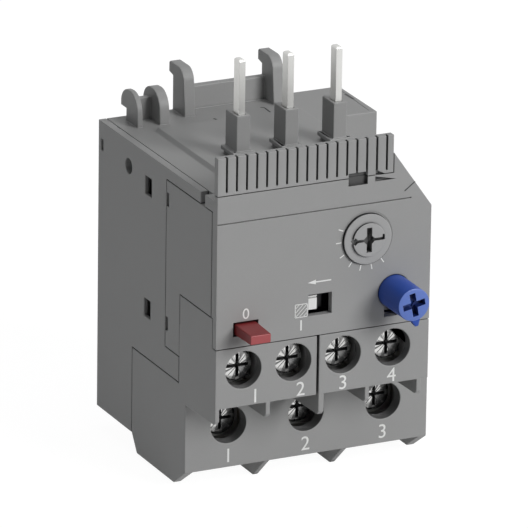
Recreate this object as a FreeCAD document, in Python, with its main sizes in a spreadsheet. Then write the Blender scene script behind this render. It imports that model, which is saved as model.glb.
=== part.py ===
import FreeCAD, Part
import math
import os

import Sketcher

# Thermal overload relay: three-pole bimetal relay that plugs into the underside of a contactor.
# Millimetres. Corner coordinates: x from the left side, d forward from the back face and
# z up from the outer feet. The frame's origin is under the middle of the whole relay, level with
# the two middle feet, which reach lower.

SIZES = {
    # outline
    "base_width": 45.0,
    "cover_width": 39.2,
    "front_depth": 47.0,
    "tier_depth": 35.5,
    "rear_depth": 27.3,
    "foot_depth": 14.3,
    "right_block_depth": 14.7,
    "rim_z": 54.4,
    "deck": 2.1,
    "foot_z": 3.05,
    "middle_drop": 0.9,
    "tier_top_z": 18.3,
    "step_depth": 32.8,
    "step_z": 23.0,
    "side_seam_z": 34.0,
    "cover_bottom_z": 28.85,
    "cover_top_z": 55.35,
    "return_depth": 45.0,
    "lip_depth": 42.2,
    "wall": 1.3,
    "seam": 0.14,
    "side_cover": 1.4,
    "cover_gap": 1.7,
    "shoulder_drop": 0.6,
    "bevel_extra": 0.4,
    "shelf": 0.9,
    "back_wall": 1.5,
    # plateau on the deck
    "plateau_left_x": 6.0,
    "plateau_right_x": 33.1,
    "plateau_back_d": 9.5,
    "plateau_rise": 0.6,
    # windows in the left side
    "side_slot_d": 1.0,
    "side_slot_width": 0.9,
    "side_slot_z": 49.3,
    "side_slot_height": 2.0,
    "side_hole_d": 12.2,
    "side_hole_z": 49.9,
    "side_hole": 1.35,
    "side_window_d": 18.8,
    "side_window_width": 2.6,
    "side_window_z": 47.2,
    "side_window_height": 3.2,
    "low_window_z": 25.6,
    "window_skin": 0.7,
    "window_relief": 0.8,
    "snap_slot_width": 0.9,
    "snap_slot_height": 2.4,
    "snap_slot_z": 47.7,
    "low_snap_slot_z": 25.9,
    # slotted strip above the cover and its bevel
    "comb_top_z": 62.0,
    "comb_width": 32.0,
    "comb_thickness": 1.3,
    "bevel_top_z": 59.0,
    "bevel_low_z": 48.8,
    "slot_first_x": 1.64,
    "slot_pitch": 1.82,
    "slot_width": 0.36,
    "slot_bottom_z": 56.0,
    "slot_cut": 0.95,
    # lines and recesses of the front cover
    "line_z": 50.5,
    "line_width": 0.2,
    "line_depth": 0.25,
    "line_right_x": 35.4,
    "label_x": 23.8,
    "label_width": 3.5,
    "label_low_z": 54.05,
    "label_top_z": 56.25,
    "label_depth": 0.8,
    "wedge_x": 28.7,
    "wedge_width": 3.7,
    "wedge_low_z": 54.3,
    "wedge_height": 0.85,
    "wedge_depth": 0.6,
    # chambers of the rear housing
    "chamber_first_x": 2.6,
    "chamber_width": 11.0,
    "chamber_wall": 1.0,
    "chamber_top_z": 49.5,
    # connection pins and posts
    "pin_first_x": 12.6,
    "pin_pitch": 8.9,
    "pin_width": 1.2,
    "pin_back_d": 27.4,
    "pin_thick": 2.0,
    "pin_top_z": 72.1,
    "pin_chamfer": 0.25,
    "pin_foot_z": 46.9,
    "pin_foot_thick": 1.0,
    "pin_clearance": 0.05,
    "post_width": 2.45,
    "post_back_d": 25.7,
    "post_length": 4.45,
    "post_top_z": 62.6,
    "pedestal_width": 3.9,
    "pedestal_length": 4.9,
    "pedestal_height": 2.0,
    "pedestal_ledge": 0.7,
    "pedestal_setback": 0.6,
    # hooks
    "small_hook_x": 4.0,
    "small_hook_width": 5.9,
    "small_hook_left": 0.95,
    "small_hook_right": 1.8,
    "small_hook_height": 5.6,
    "small_hook_length": 7.1,
    "small_hook_stem": 2.35,
    "small_hook_back": 0.2,
    "small_hook_gap": 2.15,
    "small_hook_lip": 1.2,
    "small_hook_crest": 3.2,
    "small_hook_front": 2.5,
    "small_round_back": 2.95,
    "small_round_front": 3.2,
    "small_web": 1.1,
    "small_web_height": 4.0,
    "tall_hook_x": 13.7,
    "tall_hook_pitch": 16.6,
    "tall_hook_width": 2.0,
    "tall_hook_height": 8.2,
    "tall_hook_length": 5.0,
    "tall_hook_crest": 2.3,
    "tall_hook_brow": 4.3,
    "tall_hook_drop": 2.05,
    "tall_round": 2.25,
    "hook_reach": 1.55,
    "hook_gap": 6.0,
    "hook_slope": 0.3,
    "hook_edge": 0.3,
    "web_height": 4.1,
    "web_thick": 1.5,
    # bimetal group
    "strip_thick": 0.8,
    "strip_back_d": 14.0,
    "strip_depth": 5.0,
    "strip_low_z": 22.4,
    "strip_foot": 1.0,
    "heater_half": 2.0,
    "heater_margin": 1.1,
    "heater_low_z": 28.1,
    "heater_top_z": 44.0,
    "heater_gap": 0.2,
    "heater_wire": 0.45,
    "heater_pitch": 1.5,
    # trip slider and levers
    "slider_left_x": 4.6,
    "slider_right_x": 34.2,
    "slider_back_d": 15.4,
    "slider_depth": 2.2,
    "slider_low_z": 20.9,
    "slider_height": 4.0,
    "slider_travel": 1.6,
    "play": 0.3,
    "pivot_radius": 0.8,
    "pivot_clearance": 0.05,
    "hub_radius": 1.5,
    "lever_thick": 1.0,
    "lever_x": 34.9,
    "lever_back_d": 16.2,
    "swing_room": 1.2,
    "lever_d": 25.0,
    "lever_arm_z": 42.0,
    "lever_arm_height": 3.0,
    "lever_arm_front_d": 37.6,
    "partition_d": 33.0,
    "partition_thick": 1.2,
    # dial
    "dial_x": 27.3,
    "dial_z": 44.6,
    "dial_radius": 4.35,
    "dial_inner_radius": 2.9,
    "dial_rise": 0.7,
    "dial_step": 0.35,
    "dial_well": 0.8,
    "dial_gap": 0.35,
    "dial_groove": 0.2,
    "dial_groove_depth": 0.6,
    "dial_slot": 1.05,
    "dial_slot_height": 4.4,
    "dial_cross": 0.62,
    "dial_slot_depth": 1.3,
    "dial_shaft": 1.95,
    "cam_radius": 3.0,
    "cam_offset": 0.35,
    "cam_back_d": 38.5,
    "cam_thick": 1.5,
    "setting_hub_z": 48.6,
    "setting_tip_z": 42.0,
    # reset button
    "reset_x": 32.55,
    "reset_z": 34.6,
    "reset_radius": 2.85,
    "reset_length": 7.5,
    "reset_back_d": 43.0,
    "reset_clearance": 0.08,
    "reset_stem": 1.3,
    "reset_flange_d": 41.5,
    "reset_spring_radius": 2.0,
    "spring_wire": 0.4,
    "spring_post": 2.0,
    "spring_pitch": 1.2,
    "flange_inset": 0.2,
    "stem_reach": 1.9,
    "nib_reach": 3.95,
    "nib_length": 2.0,
    "nib_width": 0.9,
    "knob_cross": 1.12,
    "knob_cross_length": 4.5,
    "knob_cross_depth": 1.4,
    "collar": 1.2,
    "nib_recess_left": 1.75,
    "nib_recess_right": 0.7,
    "nib_recess_low": 4.35,
    "nib_recess_depth": 2.2,
    # stop button
    "stop_x": 3.4,
    "stop_width": 4.0,
    "stop_low_z": 31.0,
    "stop_height": 1.9,
    "stop_length": 5.8,
    "stop_gap": 0.28,
    "stop_taper": 0.14,
    "stop_round": 0.2,
    "stop_back_d": 41.0,
    "stop_spring_radius": 0.95,
    "stop_spring_pitch": 1.0,
    "stop_flange_thick": 1.2,
    "stop_flange_low": 0.4,
    "stop_flange_high": 0.7,
    "stop_stem": 0.85,
    # test slider window
    "window_x": 16.8,
    "window_width": 4.3,
    "window_low_z": 32.35,
    "window_height": 3.75,
    "flag_width": 1.9,
    "flag_low_z": 33.2,
    "flag_height": 2.5,
    "flag_recess": 0.7,
    "flag_groove": 0.25,
    # contact carrier and contacts
    "carrier_left_x": 9.8,
    "carrier_right_x": 26.4,
    "carrier_back_d": 38.1,
    "carrier_depth": 2.0,
    "carrier_low_z": 30.4,
    "carrier_height": 5.6,
    "contact_travel": 1.4,
    "contact_gap": 0.1,
    "finger_width": 1.2,
    "finger_inset_left": 4.9,
    "finger_inset_right": 5.3,
    "finger_top_z": 35.5,
    "bridge_thick": 0.6,
    "tab_width": 0.7,
    "bridge_low_z": 32.0,
    "bridge_height": 2.4,
    "trip_lever_x": 20.5,
    "trip_lever_z": 46.0,
    "trip_tip": 0.9,
    "tongue": 1.0,
    "tongue_rib_x": 2.6,
    "tongue_rib": 1.1,
    "tongue_rib_d": 44.2,
    "tongue_rib_gap": 0.4,
    # auxiliary terminals
    "aux_first_x": 5.1,
    "aux_pitch": 9.13,
    "aux_z": 24.7,
    "aux_hole": 3.25,
    "aux_head": 2.85,
    "aux_head_thick": 1.8,
    "aux_recess": 2.5,
    "aux_shank": 1.45,
    "aux_clamp": 6.0,
    "aux_clamp_thick": 1.2,
    "aux_bar_back_d": 35.6,
    "aux_bar_thick": 1.0,
    "aux_bar_width": 4.4,
    "aux_tip": 0.5,
    "aux_relief": 2.0,
    "aux_cavity_width": 6.8,
    "aux_cavity_low_z": 20.6,
    "aux_cavity_top_z": 28.1,
    "aux_front_wall": 1.9,
    "aux_wire_width": 5.6,
    "aux_wire_depth": 4.3,
    # main terminals
    "main_first_x": 8.0,
    "main_pitch": 14.35,
    "main_z": 10.6,
    "main_hole": 3.25,
    "main_head": 2.95,
    "main_head_thick": 2.0,
    "main_recess": 3.5,
    "main_shank": 1.9,
    "main_clamp_width": 8.4,
    "main_clamp_height": 8.0,
    "main_clamp_thick": 1.5,
    "main_bar_back_d": 20.9,
    "main_bar_thick": 1.2,
    "main_bar_width": 7.0,
    "main_tip": 0.3,
    "main_relief": 3.6,
    "main_bar_low_z": 6.2,
    "main_tail_width": 4.0,
    "bar_shoulder": 1.0,
    "main_cavity_width": 9.4,
    "main_cavity_low_z": 5.9,
    "main_cavity_top_z": 15.3,
    "main_front_wall": 2.5,
    "main_wire_width": 8.0,
    "main_wire_depth": 5.8,
    "screw_clearance": 0.1,
    "running_gap": 0.1,
    "cross_width": 0.95,
    "cross_depth": 1.0,
    "cross_share": 0.8,
    # barriers
    "barrier_side": 1.5,
    "barrier_middle": 1.0,
    "barrier_back_run": 2.1,
    "barrier_front_run": 4.4,
    "rib_thick": 0.8,
    "rib_drop": 2.75,
    "rib_back_drop": 3.1,
    "rib_nose": 0.6,
    "end_rib_x": 37.1,
    "centre_rib_x": 18.95,
    "centre_rib_thick": 1.0,
    "centre_rib_drop": 3.7,
    "groove_width": 0.45,
    "groove_depth": 3.0,
    # travels
    "reset_travel": 2.0,
    "stop_travel": 1.8,
}

AUX_COUNT = 4
MAIN_COUNT = 3
SLOT_COUNT = 17
WIRE_SIDES = 8
# how far a cut runs past a face, and how near an edge counts as on it
PAST = 1.0
TOUCH = 0.01


class Dim:
    """A length that keeps its number and the sheet expression it comes from."""

    def __init__(self, value, text):
        self.value = float(value)
        self.text = text

    def __add__(self, other):
        other = dim(other)
        return Dim(self.value + other.value, f"({self.text} + {other.text})")

    def __sub__(self, other):
        other = dim(other)
        return Dim(self.value - other.value, f"({self.text} - {other.text})")

    def __mul__(self, other):
        other = dim(other)
        return Dim(self.value * other.value, f"({self.text} * {other.text})")

    def __truediv__(self, other):
        other = dim(other)
        return Dim(self.value / other.value, f"({self.text} / {other.text})")

    def __neg__(self):
        return Dim(-self.value, f"(0 - {self.text})")

    def __radd__(self, other):
        return dim(other) + self

    def __rsub__(self, other):
        return dim(other) - self

    def __rmul__(self, other):
        return dim(other) * self


def dim(number):
    if isinstance(number, Dim):
        return number
    return Dim(number, f"{float(number):.6g}")


def larger(first, second):
    return first if dim(first).value >= dim(second).value else second


def smaller(first, second):
    return first if dim(first).value <= dim(second).value else second


class Sheet:
    """The driving sizes, as attributes that are Dim values."""


S = Sheet()
DOC = FreeCAD.newDocument("overload_relay")
PIECES = []
SPRINGS = []


def fill_sheet():
    sheet = DOC.addObject("Spreadsheet::Sheet", "Size")
    for row, (name, value) in enumerate(SIZES.items(), start=1):
        sheet.set(f"A{row}", name)
        sheet.set(f"B{row}", str(value))
        sheet.setAlias(f"B{row}", name)
        setattr(S, name, Dim(value, "Size." + name))
    DOC.recompute()


# Sketches and features

PLANES = {"side": "YZ_Plane", "front": "XZ_Plane", "plan": "XY_Plane"}


def on_plane(plane, first, second):
    """Corner coordinates to sketch coordinates: side (d, z), front (x, z), plan (x, d)."""
    if plane == "side":
        return -dim(first), dim(second)
    if plane == "plan":
        return dim(first), -dim(second)
    return dim(first), dim(second)


def rect(low_u, low_v, high_u, high_v):
    return [(low_u, low_v), (high_u, low_v), (high_u, high_v), (low_u, high_v)]


def pin_point(sketch, geometry, position, point, tag):
    """Fix one sketch point to the sheet through its two distances from the origin."""
    for axis, kind, value in (("u", "DistanceX", point[0]), ("v", "DistanceY", point[1])):
        if abs(value.value) < 1e-9:
            line = -2 if axis == "u" else -1
            sketch.addConstraint(Sketcher.Constraint("PointOnObject", geometry, position, line))
            continue
        index = sketch.addConstraint(
            Sketcher.Constraint(kind, -1, 1, geometry, position, value.value))
        sketch.renameConstraint(index, axis + tag)
        sketch.setExpression("Constraints." + axis + tag, value.text)


def draw(sketch, plane, outline, tag):
    """Draw a circle (u, v, radius), or a list of corners. A corner with a third number starts an arc
    of that radius, which bulges to the left on the way to the next corner."""
    if isinstance(outline, tuple):
        centre_u, centre_v, radius = outline
        u, v = on_plane(plane, centre_u, centre_v)
        radius = dim(radius)
        circle = Part.Circle(FreeCAD.Vector(u.value, v.value, 0), FreeCAD.Vector(0, 0, 1), radius.value)
        geometry = sketch.addGeometry(circle, False)
        pin_point(sketch, geometry, 3, (u, v), tag)
        index = sketch.addConstraint(Sketcher.Constraint("Radius", geometry, radius.value))
        sketch.renameConstraint(index, "r" + tag)
        sketch.setExpression("Constraints.r" + tag, radius.text)
        return
    points = [on_plane(plane, *point[:2]) for point in outline]
    vectors = [FreeCAD.Vector(u.value, v.value, 0) for u, v in points]
    count = len(vectors)
    bulge = 1 if plane == "front" else -1
    edges = []
    firsts = []
    for i, point in enumerate(outline):
        low, high = vectors[i], vectors[(i + 1) % count]
        if len(point) == 2:
            edges.append(Part.LineSegment(low, high))
            firsts.append(1)
            continue
        arc, first = shallow_arc(low, high, dim(point[2]).value * bulge)
        edges.append(arc)
        firsts.append(first)
    ids = sketch.addGeometry(edges, False)
    for i, point in enumerate(points):
        following = (i + 1) % count
        sketch.addConstraint(
            Sketcher.Constraint("Coincident", ids[i], 3 - firsts[i], ids[following], firsts[following]))
        pin_point(sketch, ids[i], firsts[i], point, f"{tag}_{i}")
        if len(outline[i]) == 3:
            radius = dim(outline[i][2])
            radius = radius if radius.value > 0 else -radius
            index = sketch.addConstraint(Sketcher.Constraint("Radius", ids[i], radius.value))
            sketch.renameConstraint(index, f"r{tag}_{i}")
            sketch.setExpression(f"Constraints.r{tag}_{i}", radius.text)


def shallow_arc(low, high, radius):
    """The shorter arc between two points and the end that starts it; it bulges left for a radius above 0."""
    chord = high - low
    left = FreeCAD.Vector(-chord.y, chord.x, 0).normalize()
    rise = math.sqrt(radius ** 2 - chord.Length ** 2 / 4)
    centre = (low + high) / 2 - left * math.copysign(rise, radius)
    first, last = (low, high) if radius < 0 else (high, low)
    start = math.atan2(first.y - centre.y, first.x - centre.x)
    end = math.atan2(last.y - centre.y, last.x - centre.x)
    while end < start:
        end += 2 * math.pi
    circle = Part.Circle(centre, FreeCAD.Vector(0, 0, 1), abs(radius))
    return Part.ArcOfCircle(circle, start, end), 1 if radius < 0 else 2


def make_sketch(body, plane, start, outlines):
    sketch = body.newObject("Sketcher::SketchObject", body.Name + "_sketch")
    role = PLANES[plane]
    support = [item for item in body.Origin.OriginFeatures if item.Role == role][0]
    sketch.AttachmentSupport = (support, [""])
    sketch.MapMode = "FlatFace"
    sketch.setExpression("AttachmentOffset.Base.z", dim(start).text)
    for number, outline in enumerate(outlines):
        draw(sketch, plane, outline, f"p{number}")
    return sketch


def pad(body, plane, start, length, *outlines):
    """Add material from start: to the right (side), to the front (front) or up (plan)."""
    feature = body.newObject("PartDesign::Pad", body.Name + "_pad")
    feature.Profile = make_sketch(body, plane, start, outlines)
    feature.setExpression("Length", dim(length).text)
    body.Tip = feature
    return feature


def pocket(body, plane, start, depth, *outlines):
    """Cut from start: to the left (side), to the back (front) or down (plan)."""
    feature = body.newObject("PartDesign::Pocket", body.Name + "_pocket")
    feature.Profile = make_sketch(body, plane, start, outlines)
    feature.setExpression("Length", dim(depth).text)
    body.Tip = feature
    return feature


def new_body(label):
    body = DOC.addObject("PartDesign::Body", label)
    body.Label = label
    PIECES.append(body)
    return body


# Part primitives, given in corner coordinates

def place(item, x, d, z):
    item.setExpression("Placement.Base.x", dim(x).text)
    item.setExpression("Placement.Base.y", (-dim(d)).text)
    item.setExpression("Placement.Base.z", dim(z).text)


def box(low_x, high_x, back_d, front_d, low_z, high_z):
    item = DOC.addObject("Part::Box", "block")
    item.setExpression("Length", (dim(high_x) - low_x).text)
    item.setExpression("Width", (dim(front_d) - back_d).text)
    item.setExpression("Height", (dim(high_z) - low_z).text)
    place(item, low_x, front_d, low_z)
    return item


def rod(x, z, radius, back_d, front_d):
    """A cylinder along the depth."""
    item = DOC.addObject("Part::Cylinder", "rod")
    item.setExpression("Radius", dim(radius).text)
    item.setExpression("Height", (dim(front_d) - back_d).text)
    item.Placement = FreeCAD.Placement(FreeCAD.Vector(), FreeCAD.Rotation(FreeCAD.Vector(1, 0, 0), 90))
    place(item, x, back_d, z)
    return item


def upright(x, d, radius, low_z, high_z):
    """A vertical cylinder."""
    item = DOC.addObject("Part::Cylinder", "upright")
    item.setExpression("Radius", dim(radius).text)
    item.setExpression("Height", (dim(high_z) - low_z).text)
    place(item, x, d, low_z)
    return item


def joined(*items):
    result = DOC.addObject("Part::MultiFuse", "joined")
    result.Shapes = list(items)
    result.Refine = True
    return result


def without(base, *tools):
    result = DOC.addObject("Part::Cut", "remainder")
    result.Base = base
    result.Tool = tools[0] if len(tools) == 1 else joined(*tools)
    return result


def piece(label, result):
    result.Label = label
    PIECES.append(result)
    return result


# Shared places

def bevel_x(z):
    """The bevel's x at height z, on the upper right of the front cover and the strip above it."""
    share = (S.bevel_top_z - z) / (S.bevel_top_z - S.bevel_low_z)
    return S.comb_width + (S.cover_width - S.comb_width) * share


def chamber_left(index):
    return S.chamber_first_x + (S.chamber_width + S.chamber_wall) * index


def strip_x(index):
    return chamber_left(index) + S.chamber_width / 2


def pin_x(index):
    return S.pin_first_x + S.pin_pitch * index


def aux_x(index):
    return S.aux_first_x + S.aux_pitch * index


def main_x(index):
    return S.main_first_x + S.main_pitch * index


def finger_x(index):
    """Middle of each fixed contact finger: the outer two stand further in than their screws."""
    if index == 0:
        return aux_x(index) + S.finger_inset_left
    if index == AUX_COUNT - 1:
        return aux_x(index) - S.finger_inset_right
    return aux_x(index)


def slider_window():
    return rect(S.slider_back_d - S.play, S.slider_low_z - S.play,
                S.slider_back_d + S.slider_depth + S.play, S.slider_low_z + S.slider_height + S.play)


# Casing

def side_windows():
    """The two windows of the left side, as low d, low z, high d, high z."""
    right = S.side_window_d + S.side_window_width
    return [(S.side_window_d, low, right, low + S.side_window_height)
            for low in (S.side_window_z, S.low_window_z)]


def left_side_cover():
    body = new_body("left_side_cover")
    top_low = S.rim_z - S.deck + S.seam / 2
    end = S.lip_depth - S.cover_gap
    tier = S.tier_top_z + S.seam
    outline = [(0, S.foot_z), (S.foot_depth - S.seam, S.foot_z), (S.foot_depth - S.seam, tier),
               (S.step_depth - S.seam, tier), (S.step_depth - S.seam, S.step_z - S.seam),
               (S.rear_depth - S.seam, S.step_z - S.seam), (S.rear_depth - S.seam, top_low), (end, top_low),
               (end, S.rim_z), (0, S.rim_z)]
    pad(body, "side", 0, S.side_cover, outline)
    pocket(body, "side", S.side_cover, S.side_cover,
           rect(S.side_slot_d, S.side_slot_z, S.side_slot_d + S.side_slot_width,
                S.side_slot_z + S.side_slot_height),
           (S.side_hole_d, S.side_hole_z, S.side_hole), *[rect(*window) for window in side_windows()])
    # the windows widen behind a thin skin
    more = S.window_relief
    pocket(body, "side", S.side_cover, S.side_cover - S.window_skin,
           *[rect(low_d - more, low_z - more, high_d + more, high_z + more)
             for low_d, low_z, high_d, high_z in side_windows()])


def rear_housing():
    body = new_body("rear_housing")
    left = S.side_cover + S.seam / 2
    outline = [(0, S.foot_z), (S.foot_depth - S.seam, S.foot_z),
               (S.foot_depth - S.seam, S.tier_top_z + S.seam),
               (S.rear_depth - S.seam, S.tier_top_z + S.seam), (S.rear_depth - S.seam, S.rim_z - S.deck),
               (S.return_depth, S.rim_z - S.deck), (S.return_depth, S.rim_z - S.deck + S.shelf),
               (S.lip_depth - S.seam, S.rim_z - S.deck + S.shelf), (S.lip_depth - S.seam, S.rim_z),
               (0, S.rim_z)]
    pad(body, "side", left, S.cover_width - left, outline)
    pad(body, "side", S.cover_width, S.base_width - S.cover_width,
        [(0, S.foot_z), (S.foot_depth - S.seam, S.foot_z), (S.foot_depth - S.seam, S.tier_top_z + S.seam),
         (S.right_block_depth, S.tier_top_z + S.seam), (S.right_block_depth, S.rim_z), (0, S.rim_z)])
    pocket(body, "front", S.return_depth, S.return_depth - S.right_block_depth,
           [(bevel_x(S.rim_z), S.rim_z), (S.cover_width, S.rim_z), (S.cover_width, S.bevel_low_z)])
    floor = S.tier_top_z + S.back_wall
    pocket(body, "front", S.rear_depth, S.rear_depth - S.back_wall,
           *[rect(chamber_left(i), floor, chamber_left(i) + S.chamber_width, S.chamber_top_z)
             for i in range(MAIN_COUNT)])
    pocket(body, "side", chamber_left(2), S.chamber_width + S.chamber_wall * 2, slider_window())
    tails = [rect(strip_x(i) - S.main_tail_width / 2 - S.seam, S.main_bar_back_d - S.seam,
                  strip_x(i) + S.main_tail_width / 2 + S.seam,
                  S.main_bar_back_d + S.main_bar_thick + S.seam)
             for i in range(MAIN_COUNT)]
    pocket(body, "plan", floor, S.back_wall, *tails)
    hollow = S.foot_z + S.back_wall
    pocket(body, "front", S.foot_depth, S.foot_depth - S.back_wall,
           rect(left + S.back_wall, hollow, S.base_width - S.back_wall, S.tier_top_z - S.wall))
    # pocket behind each window of the left cover
    pocket(body, "side", chamber_left(0), chamber_left(0) - left,
           *[rect(*window) for window in side_windows()])
    # low plateau under the posts, with a sloping left edge
    pad(body, "front", S.plateau_back_d, S.lip_depth - S.seam - S.plateau_back_d,
        [(S.plateau_left_x, S.rim_z), (S.plateau_right_x, S.rim_z),
         (S.plateau_right_x, S.rim_z + S.plateau_rise),
         (S.plateau_left_x + S.plateau_rise, S.rim_z + S.plateau_rise)])
    # bearing post of the compensating lever
    pad(body, "plan", floor, S.lever_arm_z + S.lever_arm_height + S.play - floor,
        (S.lever_x, S.lever_d, S.pivot_radius))
    add_posts(body)
    add_hooks(body)


def add_posts(body):
    """Pedestals and insulating posts round the connection pins, with the pin holes through them."""
    middle = S.post_back_d + S.post_length / 2
    ledge_z = S.rim_z + S.pedestal_height - S.pedestal_ledge
    feet = []
    pedestals = []
    posts = []
    holes = []
    for i in range(MAIN_COUNT):
        x = pin_x(i)
        back = middle - S.pedestal_length / 2
        front = middle + S.pedestal_length / 2
        feet.append(rect(x - S.pedestal_width / 2 + S.pedestal_setback, back, x + S.pedestal_width / 2,
                         front - S.pedestal_setback))
        pedestals.append(rect(x - S.pedestal_width / 2, back, x + S.pedestal_width / 2, front))
        posts.append(rect(x - S.post_width / 2, S.post_back_d, x + S.post_width / 2,
                          S.post_back_d + S.post_length))
        holes.append(rect(x - S.pin_width / 2 - S.pin_clearance, S.pin_back_d - S.pin_clearance,
                          x + S.pin_width / 2 + S.pin_clearance,
                          S.pin_back_d + S.pin_thick + S.pin_clearance))
    pad(body, "plan", S.rim_z, ledge_z - S.rim_z, *feet)
    pad(body, "plan", ledge_z, S.pedestal_ledge, *pedestals)
    pad(body, "plan", S.rim_z + S.pedestal_height, S.post_top_z - S.rim_z - S.pedestal_height, *posts)
    pocket(body, "plan", S.post_top_z, S.post_top_z - S.rim_z + S.deck, *holes)


def small_hook():
    """Side view of a small hook: a rounded hood over a notch that is open to the back."""
    base = S.rim_z
    return [(S.small_hook_stem, base), (S.small_hook_length, base),
            (S.small_hook_length - S.seam, base + S.small_hook_front, -S.small_round_front),
            (S.small_hook_crest, base + S.small_hook_height, -S.small_round_back),
            (S.small_hook_back, base + S.small_hook_gap + S.small_hook_lip),
            (S.small_hook_back, base + S.small_hook_gap), (S.small_hook_stem, base + S.small_hook_gap)]


def tall_hook():
    """Side view of a tall hook: a stem at the back edge whose nose reaches back over it."""
    top = S.rim_z + S.tall_hook_height
    gap = S.rim_z + S.hook_gap
    return [(0, S.rim_z), (S.tall_hook_length, S.rim_z),
            (S.tall_hook_brow, top - S.tall_hook_drop, -S.tall_round), (S.tall_hook_crest, top),
            (S.hook_edge - S.hook_reach, top), (-S.hook_reach, top - S.hook_edge),
            (-S.hook_reach, gap + S.hook_slope), (0, gap)]


def add_hooks(body):
    right = S.small_hook_x + S.small_hook_width
    pad(body, "side", S.small_hook_x, S.small_hook_left, small_hook())
    pad(body, "side", right - S.small_hook_right, S.small_hook_right, small_hook())
    pad(body, "plan", S.rim_z, S.small_web_height,
        rect(S.small_hook_x + S.small_hook_left / 2, S.small_hook_stem, right - S.small_hook_right / 2,
             S.small_hook_stem + S.small_web))
    for i in range(2):
        pad(body, "side", S.tall_hook_x + S.tall_hook_pitch * i, S.tall_hook_width, tall_hook())
    pad(body, "plan", S.rim_z, S.web_height,
        rect(S.tall_hook_x + S.tall_hook_width / 2, 0,
             S.tall_hook_x + S.tall_hook_pitch + S.tall_hook_width / 2,
             S.web_thick))


def mechanism_housing():
    body = new_body("mechanism_housing")
    top = S.rim_z - S.deck - S.seam / 2
    low = S.cover_bottom_z
    outline = [(S.rear_depth, S.step_z), (S.step_depth, S.step_z), (S.step_depth, low),
               (S.return_depth - S.seam, low), (S.return_depth - S.seam, top), (S.rear_depth, top)]
    pad(body, "side", 0, S.cover_width, outline)
    # the lower casing's left wall rises here
    pocket(body, "side", S.wall + S.seam, S.wall + S.seam,
           rect(S.step_depth, low, S.return_depth, S.side_seam_z))
    pocket(body, "front", S.return_depth, S.return_depth - S.rear_depth,
           [(bevel_x(top), top), (S.cover_width, top), (S.cover_width, S.bevel_low_z)])
    pocket(body, "side", S.wall, S.wall,
           *[rect(S.rear_depth, low_z, S.rear_depth + S.snap_slot_width, low_z + S.snap_slot_height)
             for low_z in (S.snap_slot_z, S.low_snap_slot_z)])
    inner_right = S.cover_width - S.wall
    floor = low + S.wall
    shoulder = S.bevel_low_z - S.shoulder_drop
    inner = [(S.wall * 2 + S.seam, floor), (inner_right, floor), (inner_right, shoulder),
             (bevel_x(top) - S.wall - S.bevel_extra, top), (S.wall, top), (S.wall, S.side_seam_z + S.wall),
             (S.wall * 2 + S.seam, S.side_seam_z + S.wall)]
    wall_front = S.partition_d + S.partition_thick
    pocket(body, "front", S.return_depth, S.return_depth - wall_front, inner)
    pocket(body, "front", S.partition_d, S.partition_d - S.rear_depth,
           [(S.wall, floor), (inner_right, floor), (inner_right, shoulder),
            (bevel_x(top) - S.wall - S.bevel_extra, top),
            (S.wall, top)])
    pocket(body, "front", S.step_depth - S.wall, S.step_depth - S.wall - S.rear_depth,
           rect(S.wall, S.step_z + S.wall, inner_right, floor + S.bevel_extra))
    # window for the compensating lever's front arm, with its swing
    swing = S.slider_travel + S.swing_room
    pocket(body, "front", wall_front, S.partition_thick,
           rect(S.lever_x - S.lever_thick - swing, S.lever_arm_z - S.play,
                S.lever_x + S.lever_thick, S.lever_arm_z + S.lever_arm_height + S.play))
    # slots for the contact fingers
    half = S.finger_width / 2 + S.seam
    pocket(body, "plan", floor, S.wall,
           *[rect(finger_x(i) - half, S.aux_bar_back_d - S.seam, finger_x(i) + half,
                  S.aux_bar_back_d + S.aux_bar_thick + S.seam) for i in range(AUX_COUNT)])
    # pivot pins and spring posts on the partition
    reach = S.carrier_back_d + S.carrier_depth - wall_front
    pad(body, "front", wall_front, reach,
        (S.trip_lever_x, S.trip_lever_z, S.pivot_radius),
        (setting_x(), S.setting_hub_z, S.pivot_radius))
    pad(body, "front", wall_front, S.spring_post,
        (S.reset_x, S.reset_z, S.reset_spring_radius - S.spring_wire),
        (stop_middle_x(), stop_middle_z(), S.stop_spring_radius - S.spring_wire))


def setting_x():
    return S.dial_x + S.cam_radius + S.cam_offset + S.play + S.lever_thick / 2


def stop_middle_x():
    return S.stop_x + S.stop_width / 2


def stop_middle_z():
    return S.stop_low_z + S.stop_height / 2


def terminal_housing():
    body = new_body("terminal_housing")
    pad(body, "side", 0, S.base_width, rect(S.foot_depth, S.foot_z, S.tier_depth, S.tier_top_z))
    low = S.cover_bottom_z - S.seam
    pad(body, "side", 0, S.cover_width, rect(S.step_depth, S.tier_top_z, S.front_depth, low))
    # step behind the left side cover
    left = S.side_cover + S.seam
    pad(body, "side", left, S.cover_width - left,
        rect(S.rear_depth, S.tier_top_z, S.step_depth, S.step_z - S.seam))
    # left wall that rises beside the mechanism housing
    pad(body, "side", 0, S.wall,
        rect(S.step_depth + S.seam, low, S.front_depth - S.wall - S.seam, S.side_seam_z - S.seam))
    add_barriers(body)
    add_main_chambers(body)
    add_aux_chambers(body)


def rib(drop):
    """Side view of a rib under the auxiliary block."""
    low = S.tier_top_z - drop
    return [(S.tier_depth, S.tier_top_z), (S.tier_depth, low + S.rib_drop - S.rib_back_drop),
            (S.front_depth - S.rib_nose, low), (S.front_depth, low + S.rib_nose),
            (S.front_depth, S.tier_top_z)]


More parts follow.
